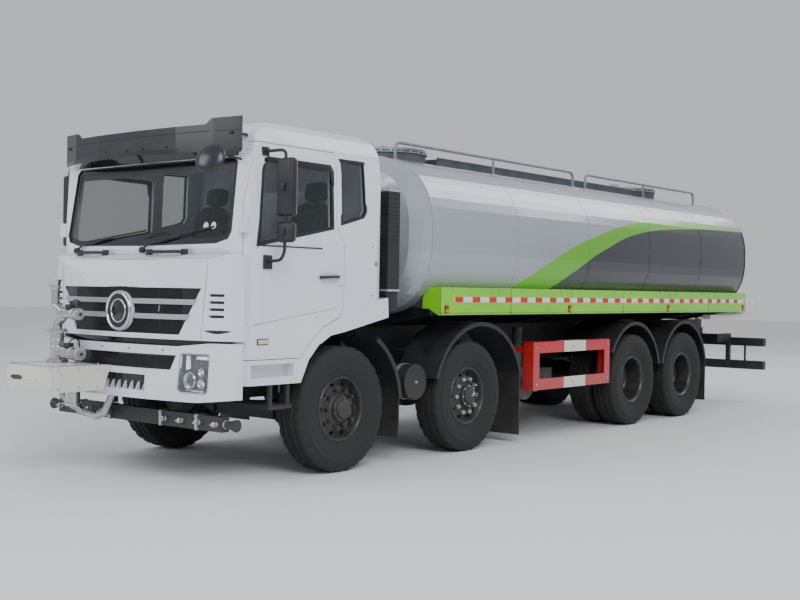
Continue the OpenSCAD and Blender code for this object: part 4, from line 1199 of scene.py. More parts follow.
@dataclass
class CabFront:
    """Grille, bumper mesh, headlamps, wipers, handles and the windscreen's border."""

    mesh_pitch: float = 0.020
    wire: float = 0.0035
    bars_z: tuple = (1.330, 1.450)
    boss_z: float = 1.366
    boss_r: float = 0.150

    def mesh(self, shape: Shape, x: tuple[float, float], face: Callable, z: tuple[float, float]) -> None:
        """Adds crossed wires over one straight stretch of the front.

        Args:
            shape: The piece that gets them.
            x: Where the stretch begins and ends.
            face: Gives metres back for a place to the side.
            z: Its lowest and highest edge.
        """
        cross = Shape("cross")
        reach = self.mesh_pitch / 2
        for s in (1, -1):
            cross.tube([(-reach, 0, -reach * s), (reach, 0, reach * s)], self.wire / 2, BLACK_PLASTIC, 4)
        span = x[1] - x[0]
        slope = math.atan2(face(abs(x[1])) - face(abs(x[0])), span)
        count = max(1, int(span / math.cos(slope) / self.mesh_pitch))
        rows = max(1, int((z[1] - z[0]) / self.mesh_pitch))
        wires = REPEAT.make(Pattern.GRID, cross, BLACK_PLASTIC, count, rows, step=(self.mesh_pitch, 0, 0),
                            row_step=(0, 0, self.mesh_pitch))
        start = at(x[0], face(abs(x[0])), z[0] + reach)
        place = Matrix.Translation(start) @ Matrix.Rotation(slope, 4, "Z") @ Matrix.Translation((reach, 0, 0))
        shape.take(wires, BLACK_PLASTIC, place)

    def grille(self) -> None:
        """Builds the dark mesh tiers, the two silver bars and the plain round boss."""
        piece = Shape("grille_mesh_and_bars")
        slab(piece, lambda x: NOSE_PLAN(x) + 0.016, (1.184, 1.566), (0.690, 0.910), 0.003, GLOSS_BLACK)
        for x in ((-0.69, -0.45), (-0.45, 0.0), (0.0, 0.45), (0.45, 0.69)):
            self.mesh(piece, x, lambda u: NOSE_PLAN(u) + 0.011, (1.186, 1.566))
        for z in self.bars_z:
            half = 0.757 + (z - 1.31) * 0.55
            slab(piece, lambda x: NOSE_PLAN(x) - 0.008, (z - 0.021, z + 0.021), (half, half + 0.025), 0.03,
                 SILVER_BAR)
        centre = at(0, -1.467, self.boss_z)
        front = Vector((0, -1, 0))
        piece.disc(centre, front, self.boss_r + 0.012, 0.006, GLOSS_BLACK, 0.002, 64)
        for r, thick in ((self.boss_r, 0.013), (self.boss_r * 0.62, 0.007)):
            loop = [(r + thick * math.cos(a), 0.008 + thick * 0.8 * math.sin(a))
                    for a in [k * math.pi / 5 for k in range(10)]]
            piece.turn(loop, centre, front, CHROME, 64)
        piece.turn([(0, 0), (0.085, 0), (0.080, 0.007), (0.045, 0.013), (0, 0.015)], centre, front,
                   GLOSS_BLACK, 40)
        for s in (1, -1):
            outline = [(x, NOSE_PLAN(x) + 0.024) for x in (0.95, 1.02, 1.10)]
            outline += [(x, y + 0.004) for x, y in reversed(outline)]
            piece.prism([(x * s, y) for x, y in outline], top_place, 1.315, 1.535, GLOSS_BLACK)
            vent = [(0.93 + 0.21 * k / 10, math.sin(math.pi * k / 10)) for k in range(11)]
            rings = []
            for x, swell in vent:
                y = NOSE_PLAN(x) - 0.0015
                low, high = 1.226 - 0.020 * swell, 1.232 + 0.002 * swell
                rings.append([at(x * s, y, low), at(x * s, y, high), at(x * s, y + 0.004, high),
                              at(x * s, y + 0.004, low)])
            piece.loft(rings, SLATE_PLASTIC)
            seam = [at(s * (0.90 + 0.05 * t), nose_face(0.90 + 0.05 * t, 1.16 + 0.62 * t) - 0.0002,
                       1.16 + 0.62 * t) for t in [k / 12 for k in range(13)]]
            piece.tube(seam, 0.0018, GLOSS_BLACK, 6)
        lid = [at(x, nose_face(x, 1.79) - 0.0006, 1.793 - 0.02 * abs(x)) for x in
               [-1.0 + k / 10 for k in range(21)]]
        piece.tube(lid, 0.0018, GLOSS_BLACK, 6)
        slab(piece, lambda x: NOSE_PLAN(x) + 0.075, (1.09, 1.175), (1.10, 1.10), 0.004, GLOSS_BLACK)
        piece.ride("root", "black_plastic")

    def bumper(self) -> None:
        """Builds the mesh in the upper slot, the ribs in the lower one and four small round plugs on its
        face.
        """
        piece = Shape("bumper_mesh_and_ribs")
        slab(piece, lambda x: BUMPER_PLAN(x) + 0.030, (0.905, 1.035), (0.638, 0.702), 0.004, GLOSS_BLACK)
        for x in ((-0.64, -0.4), (-0.4, 0.0), (0.0, 0.4), (0.4, 0.64)):
            self.mesh(piece, x, lambda u: BUMPER_PLAN(u) + 0.024, (0.914, 1.03))
        slab(piece, lambda x: BUMPER_PLAN(x) + 0.056, (0.728, 0.865), (0.375, 0.375), 0.004, GLOSS_BLACK)
        for k in range(9):
            x = -0.32 + 0.08 * k
            y = BUMPER_PLAN(abs(x))
            fin = [(y + 0.012, 0.733), (y + 0.056, 0.733), (y + 0.056, 0.800), (y + 0.040, 0.792)]
            piece.prism(fin, side_place, x, x + 0.008, BUMPER_WHITE)
        for x in (0.18, 0.56):
            for s in (1, -1):
                piece.disc(at(s * x, BUMPER_PLAN(x) + 0.001, 1.066), (0, -1, 0), 0.009, 0.004, BLACK_PLASTIC)
        piece.ride("root", "black_plastic")

    def headlamps(self) -> None:
        """Builds both lamps: dark housing, projector, bright row, reflectors and a clear lens."""
        inside = Shape("headlamp_units")
        lens = Shape("headlamp_lenses")

        def skin(u: float, v: float, w: float) -> Vector:
            """A point of the lamp's face, w behind the bumper's skin."""
            return at(u, BUMPER_PLAN(u) + w, v)

        front = Vector((0, -1, 0))
        edge = shifted(LAMP, 0.004)
        inside.prism(shifted(LAMP, 0.002), front_place, -1.352, -1.340, GLOSS_BLACK)
        rim(inside, edge, shifted(LAMP, 0.010), skin, 0.004, 0.05, CHROME)
        rim(inside, shifted(LAMP, 0.012), shifted(LAMP, 0.022), skin, 0.030, 0.07, GLOSS_BLACK)
        projector = at(0.800, -1.362, 0.835)
        inside.turn([(0.030, 0), (0.064, 0), (0.070, 0.026), (0.064, 0.034), (0.056, 0.030), (0.046, 0.010)],
                    projector, front, CHROME, 40)
        inside.turn([(0, 0), (0.048, 0), (0.046, 0.012), (0.036, 0.026), (0.020, 0.034), (0, 0.036)],
                    projector, front, GLOSS_BLACK, 32)
        for z, r in ((0.815, 0.036), (0.905, 0.030)):
            bowl = [(0.006, 0), (r, 0.02), (r + 0.004, 0.03), (r + 0.006, 0.028), (r + 0.002, 0),
                    (0.008, -0.006)]
            inside.turn(bowl, at(0.935, -1.360, z), front, CHROME, 32)
            inside.disc(at(0.935, -1.360, z), front, 0.010, 0.012, LED, 0.003, 16)
        inside.prism([(0.762, 0.915), (0.800, 0.930), (0.795, 1.035), (0.768, 1.030)], front_place, -1.395,
                     -1.372, LED, 0.004)
        inside.prism([(0.86, 1.000), (0.99, 1.000), (0.992, 1.030), (0.86, 1.030)], front_place, -1.372,
                     -1.352, CHROME, 0.004)
        dot = Shape("dot")
        dot.disc((0, 0, 0), (0, 0, 1), 0.006, 0.004, LED, 0.001, 8)
        row = REPEAT.make(Pattern.ROW, dot, LED, 9, step=(0.024, 0, 0))
        inside.take(row, LED, Matrix.Translation(at(0.76, -1.385, 0.756)) @ Matrix.Rotation(math.pi / 2, 4,
                "X"))
        lens.prism(shifted(LAMP, 0.005), skin, 0.006, 0.010, LENS)
        inside.both_sides().ride("root", "lamp_glass")
        lens.both_sides().ride("root", "lamp_glass", "headlamps")

    def screen(self) -> None:
        """Builds the black border of the windscreen, the wipers, the two handles below it and a black sheet
        above the windscreen that is partly painted shade of the visor.
        """
        piece = Shape("windscreen_border_and_wipers")
        half = list(SCREEN_HALF)
        outline = [(x, z) for x, z in half] + [(-x, z) for x, z in reversed(half)]

        def pane(u: float, v: float, w: float) -> Vector:
            """A point w behind the windscreen's outer face."""
            return at(u, SCREEN_SIDE(v) + 0.012 + w, v)

        rim(piece, shifted(outline, 0.003), shifted(outline, 0.045), pane, 0.0, 0.004, GLOSS_BLACK)
        rim(piece, shifted(outline, -0.004), shifted(outline, 0.008), pane, -0.010, 0.004, BLACK_PLASTIC)
        for x, tip in ((-0.895, (0.02, 2.035)), (0.013, (0.86, 2.050))):
            foot = at(x, SCREEN_SIDE(1.90) - 0.030, 1.872)
            knee = at(x + 0.10, SCREEN_SIDE(1.93) - 0.022, 1.925)
            middle = at((x + tip[0]) / 2 + 0.06, SCREEN_SIDE(1.99) - 0.016, 1.99)
            piece.tube([foot, knee, middle], 0.009, BLACK_PLASTIC, 8, 0.03)
            start = at(x + 0.14, SCREEN_SIDE(1.94) - 0.004, 1.952)
            end = at(tip[0], SCREEN_SIDE(tip[1]) - 0.004, tip[1])
            piece.tube([start, end], 0.008, BLACK_PLASTIC, 8)
            piece.tube([start + (end - start) * 0.25, middle, start + (end - start) * 0.75], 0.005,
                       BLACK_PLASTIC, 6)
            piece.turn([(0, 0), (0.026, 0), (0.026, 0.03), (0.018, 0.04), (0, 0.042)],
                       foot + Vector((0, 0.03, 0)), (0, -1, 0), BLACK_PLASTIC, 20)
        for low, high in ((-0.81, -0.45), (0.14, 0.58)):
            path = [at(low, -1.268, 1.848), at(low + 0.02, -1.318, 1.852), at(high - 0.02, -1.318, 1.852),
                    at(high, -1.268, 1.848)]
            piece.tube(path, 0.013, BLACK_PLASTIC, 12, 0.03)
            for x in (low, high):
                piece.box(at(x - 0.035, -1.285, 1.825), at(x + 0.035, -1.262, 1.875), BLACK_PLASTIC, 0.006)
        for x in (0.84, 0.75):
            piece.disc(at(x, SCREEN_SIDE(2.05) + 0.0135, 2.06), (0, -1, 0.14), 0.030, 0.0015, CREAM, 0.0005,
                       24)
        # A gloss-black sheet over the white cab front between the windscreen's top and the visor: partly the
        # windscreen's black top, partly painted shade that the visor casts there.
        screen_top_and_visor_shade = [(-1.045, 2.612), (1.045, 2.612), (1.035, 2.70), (-1.035, 2.70)]
        piece.prism(screen_top_and_visor_shade, lambda u, v, w: at(u, SCREEN_SIDE(v) + w, v), -0.003, 0.002, GLOSS_BLACK)
        tint = [(x * 0.985, z) for x, z in ((1.05, 2.50), (1.05, 2.56), (1.01, 2.595))]
        strip = tint + [(-x, z) for x, z in reversed(tint)]
        piece.prism(strip, pane, 0.0045, 0.0055, SLATE_PLASTIC)
        piece.ride("root", "black_plastic")

    def build(self) -> None:
        """Builds the whole front."""
        self.grille()
        self.bumper()
        self.headlamps()
        self.screen()


@dataclass
class CabSides:
    """Window rubbers, door furniture, mirrors, lamps, visor trim and steps."""

    arm_r: float = 0.013
    mirror_x: float = 1.414
    mirror_y: float = -0.975

    @staticmethod
    def skin(u: float, v: float, w: float) -> Vector:
        """A point of the cab's left side, w out from its skin."""
        return at(CAB_SIDE(v) + w, u, v)

    def doors(self) -> None:
        """Builds each door's rubber, handle, lock, a black line of painted shade along its crease, and
        mirrors.
        """
        for side in ("left", "right"):
            trim = Shape(f"{side}_door_trim")
            rim(trim, shifted(DOOR_WINDOW, -0.016), shifted(DOOR_WINDOW, 0.012), self.skin, 0.002, -0.02,
                BLACK_PLASTIC)
            bowl = [(-0.245 + 0.140 * math.cos(a), 1.662 + 0.045 * math.sin(a)) for a in
                    [k * math.pi / 14 for k in range(28)]]
            rim(trim, shifted(bowl, -0.007), bowl, self.skin, 0.0025, -0.001, CAB_WHITE)
            trim.prism(shifted(bowl, 0.001), self.skin, 0.0, 0.0008, BUMPER_WHITE)
            guard = [(-0.985, 2.590), (-0.955, 2.612), (-0.225, 2.612), (-0.192, 2.570), (-0.192, 2.440),
                     (-0.222, 2.440), (-0.240, 2.550), (-0.940, 2.566)]
            trim.prism(guard, self.skin, 0.006, 0.011, GLOSS_BLACK, 0.001)
            handle = [self.skin(-0.365, 1.665, 0.004), self.skin(-0.345, 1.668, 0.030),
                      self.skin(-0.155, 1.676, 0.030), self.skin(-0.135, 1.677, 0.004)]
            trim.tube(handle, 0.014, GLOSS_BLACK, 12, 0.02)
            trim.disc(self.skin(-0.115, 1.60, 0.0), (1, 0, 0), 0.012, 0.003, CHROME, 0.001, 20)
            # A thin black line along the door's crease: painted shade where the crease would be shaded.
            crease_shade_line = [self.skin(-1.10 + 0.95 * t, 1.28 + 0.13 * t, -0.0008)
                      for t in [k / 8 for k in range(9)]]
            trim.tube(crease_shade_line, 0.0022, BLACK_PLASTIC, 6)
            belt = [self.skin(u, 1.905, 0.003) for u in (-1.05, -0.62, -0.34)]
            trim.tube(belt, 0.006, BLACK_PLASTIC, 6)
            trim.prism([(-1.065, 1.120), (-0.945, 1.120), (-0.945, 1.170), (-1.065, 1.170)], self.skin,
                       -0.002, 0.006, BLACK_PLASTIC, 0.002)
            trim.prism([(-1.058, 1.127), (-0.952, 1.127), (-0.952, 1.163), (-1.058, 1.163)], self.skin,
                       0.003, 0.010, TURN_LENS, 0.003)
            mirrors = Shape(f"{side}_mirror_set")
            x, y = self.mirror_x, self.mirror_y
            arm = [at(1.2305, y, 1.78), at(x - 0.04, y, 1.79), at(x, y, 1.85), at(x, y, 2.63),
                   at(x - 0.04, y, 2.65), at(1.185, y, 2.65)]
            mirrors.tube(arm, self.arm_r, BLACK_PLASTIC, 14, 0.05)
            mirrors.box(at(1.2205, y - 0.045, 1.72), at(1.240, y + 0.045, 1.83), BLACK_PLASTIC, 0.006)
            mirrors.box(at(1.172, y - 0.035, 2.615), at(1.200, y + 0.035, 2.685), BLACK_PLASTIC, 0.006)
            for half, z in ((0.086, (2.132, 2.588)), (0.080, (1.927, 2.088))):
                mirrors.box(at(x - half, y - 0.020, z[0]), at(x + half, y + 0.052, z[1]), BLACK_PLASTIC,
                            0.028, 4)
                mirrors.box(at(x - half + 0.012, y + 0.050, z[0] + 0.014), at(x + half - 0.012, y + 0.0555,
                            z[1] - 0.014), MIRROR_GLASS, 0.002)
                mirrors.box(at(x - 0.018, y - 0.034, (z[0] + z[1]) / 2 - 0.03), at(x + 0.018, y - 0.016,
                            (z[0] + z[1]) / 2 + 0.03), BLACK_PLASTIC, 0.005)
            if side == "right":
                flip(trim)
                flip(mirrors)
            trim.ride(f"{side}_door", "black_plastic")
            mirrors.ride(f"{side}_door", "black_plastic", f"{side}_mirrors")

    def sides(self) -> None:
        """Builds what stands on both sides of the fixed cab."""
        piece = Shape("cab_side_trim")
        rim(piece, shifted(QUARTER_WINDOW, -0.014), shifted(QUARTER_WINDOW, 0.010), self.skin, 0.002, -0.02,
            BLACK_PLASTIC)
        piece.prism([(0.335, 1.775), (0.375, 1.775), (0.375, 1.815), (0.335, 1.815)], self.skin, 0.0, 0.0015,
                    RAIL_GREY)
        for z in (1.52, 1.94):
            piece.disc(self.skin(0.30, z, -0.001), (1, 0, 0), 0.007, 0.004, BLACK_PLASTIC, 0.001, 16)
        tread = Shape("tread")
        tread.box((-0.004, -0.045, 0), (0.004, 0.045, 0.004), BLACK_PLASTIC, 0.001)
        ribs = REPEAT.make(Pattern.GRID, tread, BLACK_PLASTIC, 15, 2, step=(0.016, 0, 0), row_step=(0, 0.115,
                0))
        piece.take(ribs, BLACK_PLASTIC, Matrix.Translation(at(0.953, -0.83, 0.628)))
        hoop = [at(1.165, -0.87, 0.80), at(1.165, -0.87, 0.60), at(1.165, -0.675, 0.60), at(1.165, -0.675,
                0.80)]
        piece.tube(hoop, 0.010, BLACK_PLASTIC, 8, 0.03)
        piece.both_sides().ride("root", "black_plastic")

    def visor(self) -> None:
        """Builds the visor's studs, its dark lower strip, a black line of painted shade along its crease, and
        the round corner mirror.
        """
        plan = along(((0, -1.330), (0.5, -1.315), (0.9, -1.270), (1.15, -1.190)))
        piece = Shape("visor_trim")
        for s in (1, -1):
            stud = Shape("stud")
            stud.disc((0, 0, 0), (0, 0, 1), 0.009, 0.005, GLOSS_BLACK, 0.0015, 12)
            row = REPEAT.make(Pattern.ROW, stud, GLOSS_BLACK, 2, step=(0.30 * s, 0, 0))
            slope = math.atan2(0.015, 0.5) * s
            piece.take(row, GLOSS_BLACK, Matrix.Translation(at(0.10 * s, -1.330, 2.700))
                       @ Matrix.Rotation(slope, 4, "Z") @ Matrix.Rotation(math.pi / 2, 4, "X"))
        low = along(((0, 2.665), (1.15, 2.640)))
        rings = []
        for k in range(25):
            x = -1.14 + 2.28 * k / 24
            y, z = plan(abs(x)) - 0.002, low(abs(x))
            rings.append([at(x, y, z + 0.022), at(x, y + 0.006, z + 0.022), at(x, y + 0.006, z - 0.012),
                          at(x, y, z - 0.012)])
        piece.loft(rings, GLOSS_BLACK)
        # A thin black line along the visor's crease: painted shade of the bend.
        crease_shade_line = [at(x, plan(abs(x)) - 0.0005, 2.80) for x in [-1.12 + 2.24 * k / 24 for k in range(25)]]
        piece.tube(crease_shade_line, 0.0025, BLACK_PLASTIC, 6)
        piece.ride("root", "slate_plastic")
        mirror = Shape("corner_mirror_dish")
        arm = [at(1.080, -1.1375, 2.580), at(1.085, -1.190, 2.582), at(1.110, -1.330, 2.590),
               at(1.150, -1.500, 2.560)]
        mirror.tube(arm, 0.010, BLACK_PLASTIC, 12, 0.04)
        axis = Vector((0.3214, -0.883, 0.342))
        centre = at(1.150, -1.520, 2.545)
        mirror.turn([(0, 0.040), (0.05, 0.037), (0.09, 0.027), (0.117, 0.010), (0.124, 0.0), (0.124, -0.010),
                     (0.118, -0.012), (0, -0.012)], centre, axis, SLATE_PLASTIC, 48)
        mirror.turn([(0, -0.0125), (0.114, -0.0125), (0.100, -0.016), (0.06, -0.020), (0, -0.022)], centre,
                    axis, MIRROR_GLASS, 48)
        mirror.ride("root", "slate_plastic", "corner_mirror")

    def build(self) -> None:
        """Builds the doors' trim, the sides and the visor."""
        self.doors()
        self.sides()
        self.visor()


def flip(shape: Shape) -> None:
    """Moves a piece to the truck's other side."""
    for vert in shape.bm.verts:
        vert.co.x = -vert.co.x
    bmesh.ops.reverse_faces(shape.bm, faces=shape.bm.faces[:])


@dataclass
class WaterGear:
    """Nozzles, flanges, bolts, weld rings and actuators of the front sprinkler."""

    riser: tuple[float, float] = (-0.600, -1.640)
    flange_r: float = 0.088

    def bolts(self, shape: Shape, centre: Vector, axis: Point, radius: float, count: int,
              size: float = 0.014) -> None:
        """Adds a ring of nuts.

        Args:
            shape: The piece that gets them.
            centre: The ring's centre.
            axis: The way that they face.
            radius: The ring's radius.
            count: How many there are.
            size: Width over a nut's corners.
        """
        nut_ring(shape, hex_nut(size, size * 0.6, ZINC, size * 0.5), ZINC, count, radius, centre, axis)

    def box(self) -> None:
        """Builds the plain front box's slot, seams, bolts and the lid's edge line."""
        piece = Shape("valve_box_trim")
        slot = [(-0.555 + 0.055 * math.cos(a) + (0.03 if math.cos(a) > 0 else -0.03), 0.815
                 + 0.020 * math.sin(a)) for a in [k * math.pi / 10 for k in range(20)]]
        rim(piece, shifted(slot, -0.007), slot, front_place, -2.0535, -2.048, CREAM)
        piece.prism(slot, front_place, -2.0512, -2.0500, GLOSS_BLACK)
        piece.tube([at(-0.702, -2.051, 0.914), at(-0.064, -2.051, 0.914)], 0.004, CREAM, 8)
        piece.tube([at(-0.0645, -2.052, 0.716), at(-0.0645, -2.052, 0.914)], 0.003, CREAM, 8)
        for x, z in ((-0.68, 0.895), (-0.09, 0.895), (-0.68, 0.735), (-0.09, 0.735), (-0.28, 0.80),
                     (-0.36, 0.80)):
            fasten(piece, at(x, -2.050, z), (0, -1, 0), 0.016, 0.006)
        for y in (-1.99, -1.80, -1.62):
            for z in (0.74, 0.89):
                fasten(piece, at(-0.066, y, z), (1, 0, 0), 0.014, 0.006)
        for y in (-2.02, -1.59):
            for x in (-0.67, -0.10):
                fasten(piece, at(x, y, 0.918), (0, 0, 1), 0.018, 0.008, 0.008)
        lid = [at(-0.685, -2.035, 0.9185), at(-0.082, -2.035, 0.9185), at(-0.082, -1.575, 0.9185),
               at(-0.685, -1.575, 0.9185), at(-0.685, -2.035, 0.9185)]
        piece.tube(lid, 0.0025, SLATE_PLASTIC, 6)
        piece.ride("root", "cream_paint")

    def pipes(self) -> None:
        """Builds weld rings, flanges, handles and the two actuators' caps."""
        piece = Shape("pipe_flanges_and_actuators")
        x, y = self.riser
        for z in (0.924, 1.170):
            piece.disc(at(x, y, z), (0, 0, 1), self.flange_r, 0.016, STAINLESS, 0.003, 40)
            self.bolts(piece, at(x, y, z + 0.016), (0, 0, 1), self.flange_r - 0.014, 8)
        for z in (1.05, 1.105):
            ring = [(0.056 + 0.004 * math.cos(a), 0.004 * math.sin(a)) for a in [k * math.pi / 4
                    for k in range(8)]]
            piece.turn(ring, at(x, y, z), (0, 0, 1), STAINLESS, 32)
        for start, end, r, z in ((-0.560, -0.300, 0.042, 1.328), (-0.600, -0.280, 0.048, 1.0)):
            for where in (end - 0.002, (start + end) / 2 + 0.05):
                piece.disc(at(where, y, z), (1, 0, 0), r + 0.007, 0.014, ZINC, 0.003, 32)
            self.bolts(piece, at(end + 0.012, y, z), (1, 0, 0), r - 0.012, 6, 0.012)
            piece.disc(at(end + 0.012, y, z), (1, 0, 0), 0.012, 0.02, GLOSS_BLACK, 0.004, 16)
            piece.box(at((start + end) / 2 - 0.03, y - 0.028, z + r - 0.004), at((start + end) / 2 + 0.04,
                    y + 0.028, z + r + 0.038), BLACK_PLASTIC, 0.006)
            hose = [at((start + end) / 2, y, z + r + 0.036), at((start + end) / 2, y + 0.05, z + r + 0.08),
                    at((start + end) / 2 - 0.02, y + 0.12, z + r + 0.06), at((start + end) / 2 - 0.03,
                    -1.505, z)]
            piece.tube(hose, 0.006, BLACK_PLASTIC, 8, 0.04)
        nozzle = [(0, 0), (0.050, 0), (0.052, 0.012), (0.046, 0.016), (0.044, 0.050), (0.058, 0.075),
                  (0.058, 0.082), (0.030, 0.082), (0.026, 0.050), (0, 0.048)]
        piece.turn(nozzle, at(-0.64, -1.64, 1.535), (0, 0, 1), STAINLESS, 32)
        for z in (0.575, 0.86):
            piece.disc(at(-0.43, -1.60, z), (0, 0, 1), 0.074, 0.012, STAINLESS, 0.002, 32)
        piece.ride("root", "stainless_pipe")

    def bar(self) -> None:
        """Builds the low bar's nozzles, clamps and end caps."""
        piece = Shape("spray_bar_nozzles")

        def head() -> Shape:
            """One duck-bill nozzle that points along -Y."""
            part = Shape("nozzle")
            part.turn([(0, 0), (0.019, 0), (0.019, 0.014), (0.014, 0.018), (0.014, 0.030), (0.020, 0.034),
                       (0.020, 0.046), (0.012, 0.050), (0, 0.050)], (0, 0, 0), (0, -1, 0), ZINC, 20)
            part.box((-0.017, -0.064, -0.006), (0.017, -0.046, 0.006), ZINC, 0.003)
            return part

        for s in (1, -1):
            row = REPEAT.make(Pattern.ROW, head(), ZINC, 4, step=(0.205 * s, 0, 0))
            piece.take(row, ZINC, Matrix.Translation(at(0.40 * s, -1.288, 0.500)))
            for x in (0.34, 0.78):
                piece.box(at(s * x - 0.02, -1.300, 0.434), at(s * x + 0.02, -1.202, 0.566), CHASSIS, 0.005)
                fasten(piece, at(s * x, -1.2995, 0.545), (0, -1, 0), 0.02, 0.010, 0.006)
            piece.turn([(0, 0), (0.034, 0), (0.034, 0.016), (0.022, 0.020), (0.022, 0.034), (0.028, 0.036),
                        (0.028, 0.050), (0, 0.054)], at(s * 1.068, -1.25, 0.5), (s, 0, 0), ZINC, 24)
        piece.ride("root", "stainless_pipe")

    def build(self) -> None:
        """Builds the whole sprinkler."""
        self.box()
        self.pipes()
        self.bar()


@dataclass
class TankTop:
    """Seam bands, manholes, chequer deck, lockers' tape and lamps, strips under the tank."""

    half_w: float = 1.25
    half_h: float = 0.805
    centre_z: float = 2.09
    power: float = 2.7
    y: tuple[float, float] = (1.12, 8.41)
    manholes: tuple = (("front", 1.95), ("rear", 7.16))
    lockers_y: tuple[float, float] = (1.26, 8.41)
    rail_z: float = 3.05
    rail_r: float = 0.017

    def girth(self, y: float, grow: float, steps: int = 96) -> list[Vector]:
        """One ring round the tank.

        Args:
            y: Metres back from axle 1.
            grow: How far outside the shell.
            steps: Points round it.

        Returns:
            The ring's points.
        """
        ring = []
        for k in range(steps):
            a = 2 * math.pi * k / steps
            c, s = math.cos(a), math.sin(a)
            ring.append(at(math.copysign(abs(c) ** (2 / self.power), c) * (self.half_w + grow), y,
                           self.centre_z + math.copysign(abs(s) ** (2 / self.power), s) * (self.half_h
                    + grow)))
        return ring

    def band(self, shape: Shape, y: float, width: float, grow: float, finish: Finish) -> None:
        """Adds a thin band round the tank.

        Args:
            shape: The piece that gets it.
            y: Its middle.
            width: Its width.
            grow: How far it stands out.
            finish: Its finish.
        """
        rings = [self.girth(y - width / 2, -0.004), self.girth(y - width / 2, grow * 0.7),
                 self.girth(y - width / 4, grow), self.girth(y + width / 4, grow),
                 self.girth(y + width / 2, grow * 0.7), self.girth(y + width / 2, -0.004)]
        shape.loft(rings, finish, closed=True)

    def seams(self) -> None:
        """Builds the rolled rims at both ends and the weld seams between."""
        piece = Shape("tank_seams")
        for y in (self.y[0] + 0.012, self.y[1] - 0.012):
            self.band(piece, y, 0.024, 0.006, TANK_SILVER)
        for k in range(1, 5):
            self.band(piece, self.y[0] + (self.y[1] - self.y[0]) * k / 5, 0.008, 0.0016, TANK_SILVER)
        piece.ride("root", "tank_silver")

    def lids(self) -> None:
        """Builds both manholes: bolted collar, domed lid, swing bolts, handle and vent."""
        up = Vector((0, 0, 1))
        for name, y in self.manholes:
            collar = Shape(f"{name}_manhole_collar")
            collar.turn([(0.392, 0), (0.418, 0), (0.418, 0.010), (0.404, 0.014), (0.392, 0.014)],
                        at(0, y, 2.976), up, LID_SILVER, 72)
            nut_ring(collar, hex_nut(0.018, 0.010, ZINC, 0.006), ZINC, 24, 0.411, at(0, y, 2.986), up)
            collar.ride("root", "tank_silver")
            lid = Shape(f"{name}_manhole_lid_fittings")
            lid.turn([(0, 0.020), (0.12, 0.018), (0.24, 0.012), (0.33, 0.003), (0.33, -0.001), (0, -0.001)],
                     at(0, y, 3.0265), up, LID_SILVER, 64)
            for s in (1, -1):
                lid.box(at(s * 0.20 - 0.012, y - 0.34, 3.024), at(s * 0.20 + 0.012, y + 0.30, 3.040),
                        LID_SILVER, 0.004)
            grip = [at(-0.07, y - 0.30, 3.026), at(-0.07, y - 0.30, 3.058), at(0.07, y - 0.30, 3.058),
                    at(0.07, y - 0.30, 3.026)]
            lid.tube(grip, 0.008, ZINC, 10, 0.02)
            lid.turn([(0, 0), (0.045, 0), (0.045, 0.020), (0.036, 0.030), (0, 0.034)],
                     at(0, y + 0.10, 3.036), up, ZINC, 28)
            lid.ride(f"{name}_lid", "tank_silver")

    def deck(self) -> None:
        """Builds the walkway's raised chequer bars, its edge angles and the handrails with their feet."""
        piece = Shape("walkway_chequer")
        chequer(piece, DECK_GREY, (8, 62), (0.08, 0.07), at(-0.28, 2.42, 2.9655))
        for s in (1, -1):
            piece.box(at(s * 0.328 - 0.003, 2.372, 2.955), at(s * 0.328 + 0.003, 6.738, 2.985), DECK_GREY,
                      0.001)
        piece.ride("root", "deck_grey")
        feet = Shape("handrails")
        for s in (1, -1):
            for low, high in ((1.53, 4.97), (5.27, 8.38)):
                z = self.centre_z + self.half_h * (1 - (0.45 / self.half_w) ** self.power) ** (1 / self.power)
                hoop = [at(s * 0.45, low, z - 0.005), at(s * 0.45, low, self.rail_z), at(s * 0.45, high,
                        self.rail_z), at(s * 0.45, high, z - 0.005)]
                feet.tube(hoop, self.rail_r, RAIL_GREY, 16, 0.085)
                middle = (low + high) / 2
                feet.tube([at(s * 0.45, middle, z - 0.005), at(s * 0.45, middle, self.rail_z)], self.rail_r
                          - 0.003, RAIL_GREY, 14)
                for y in (low, middle, high):
                    feet.disc(at(s * 0.45, y, z - 0.004), (s * 0.06, 0, 1), 0.036, 0.010, RAIL_GREY, 0.002,
                              24)
        feet.ride("root", "rail_steel", "top_rails")

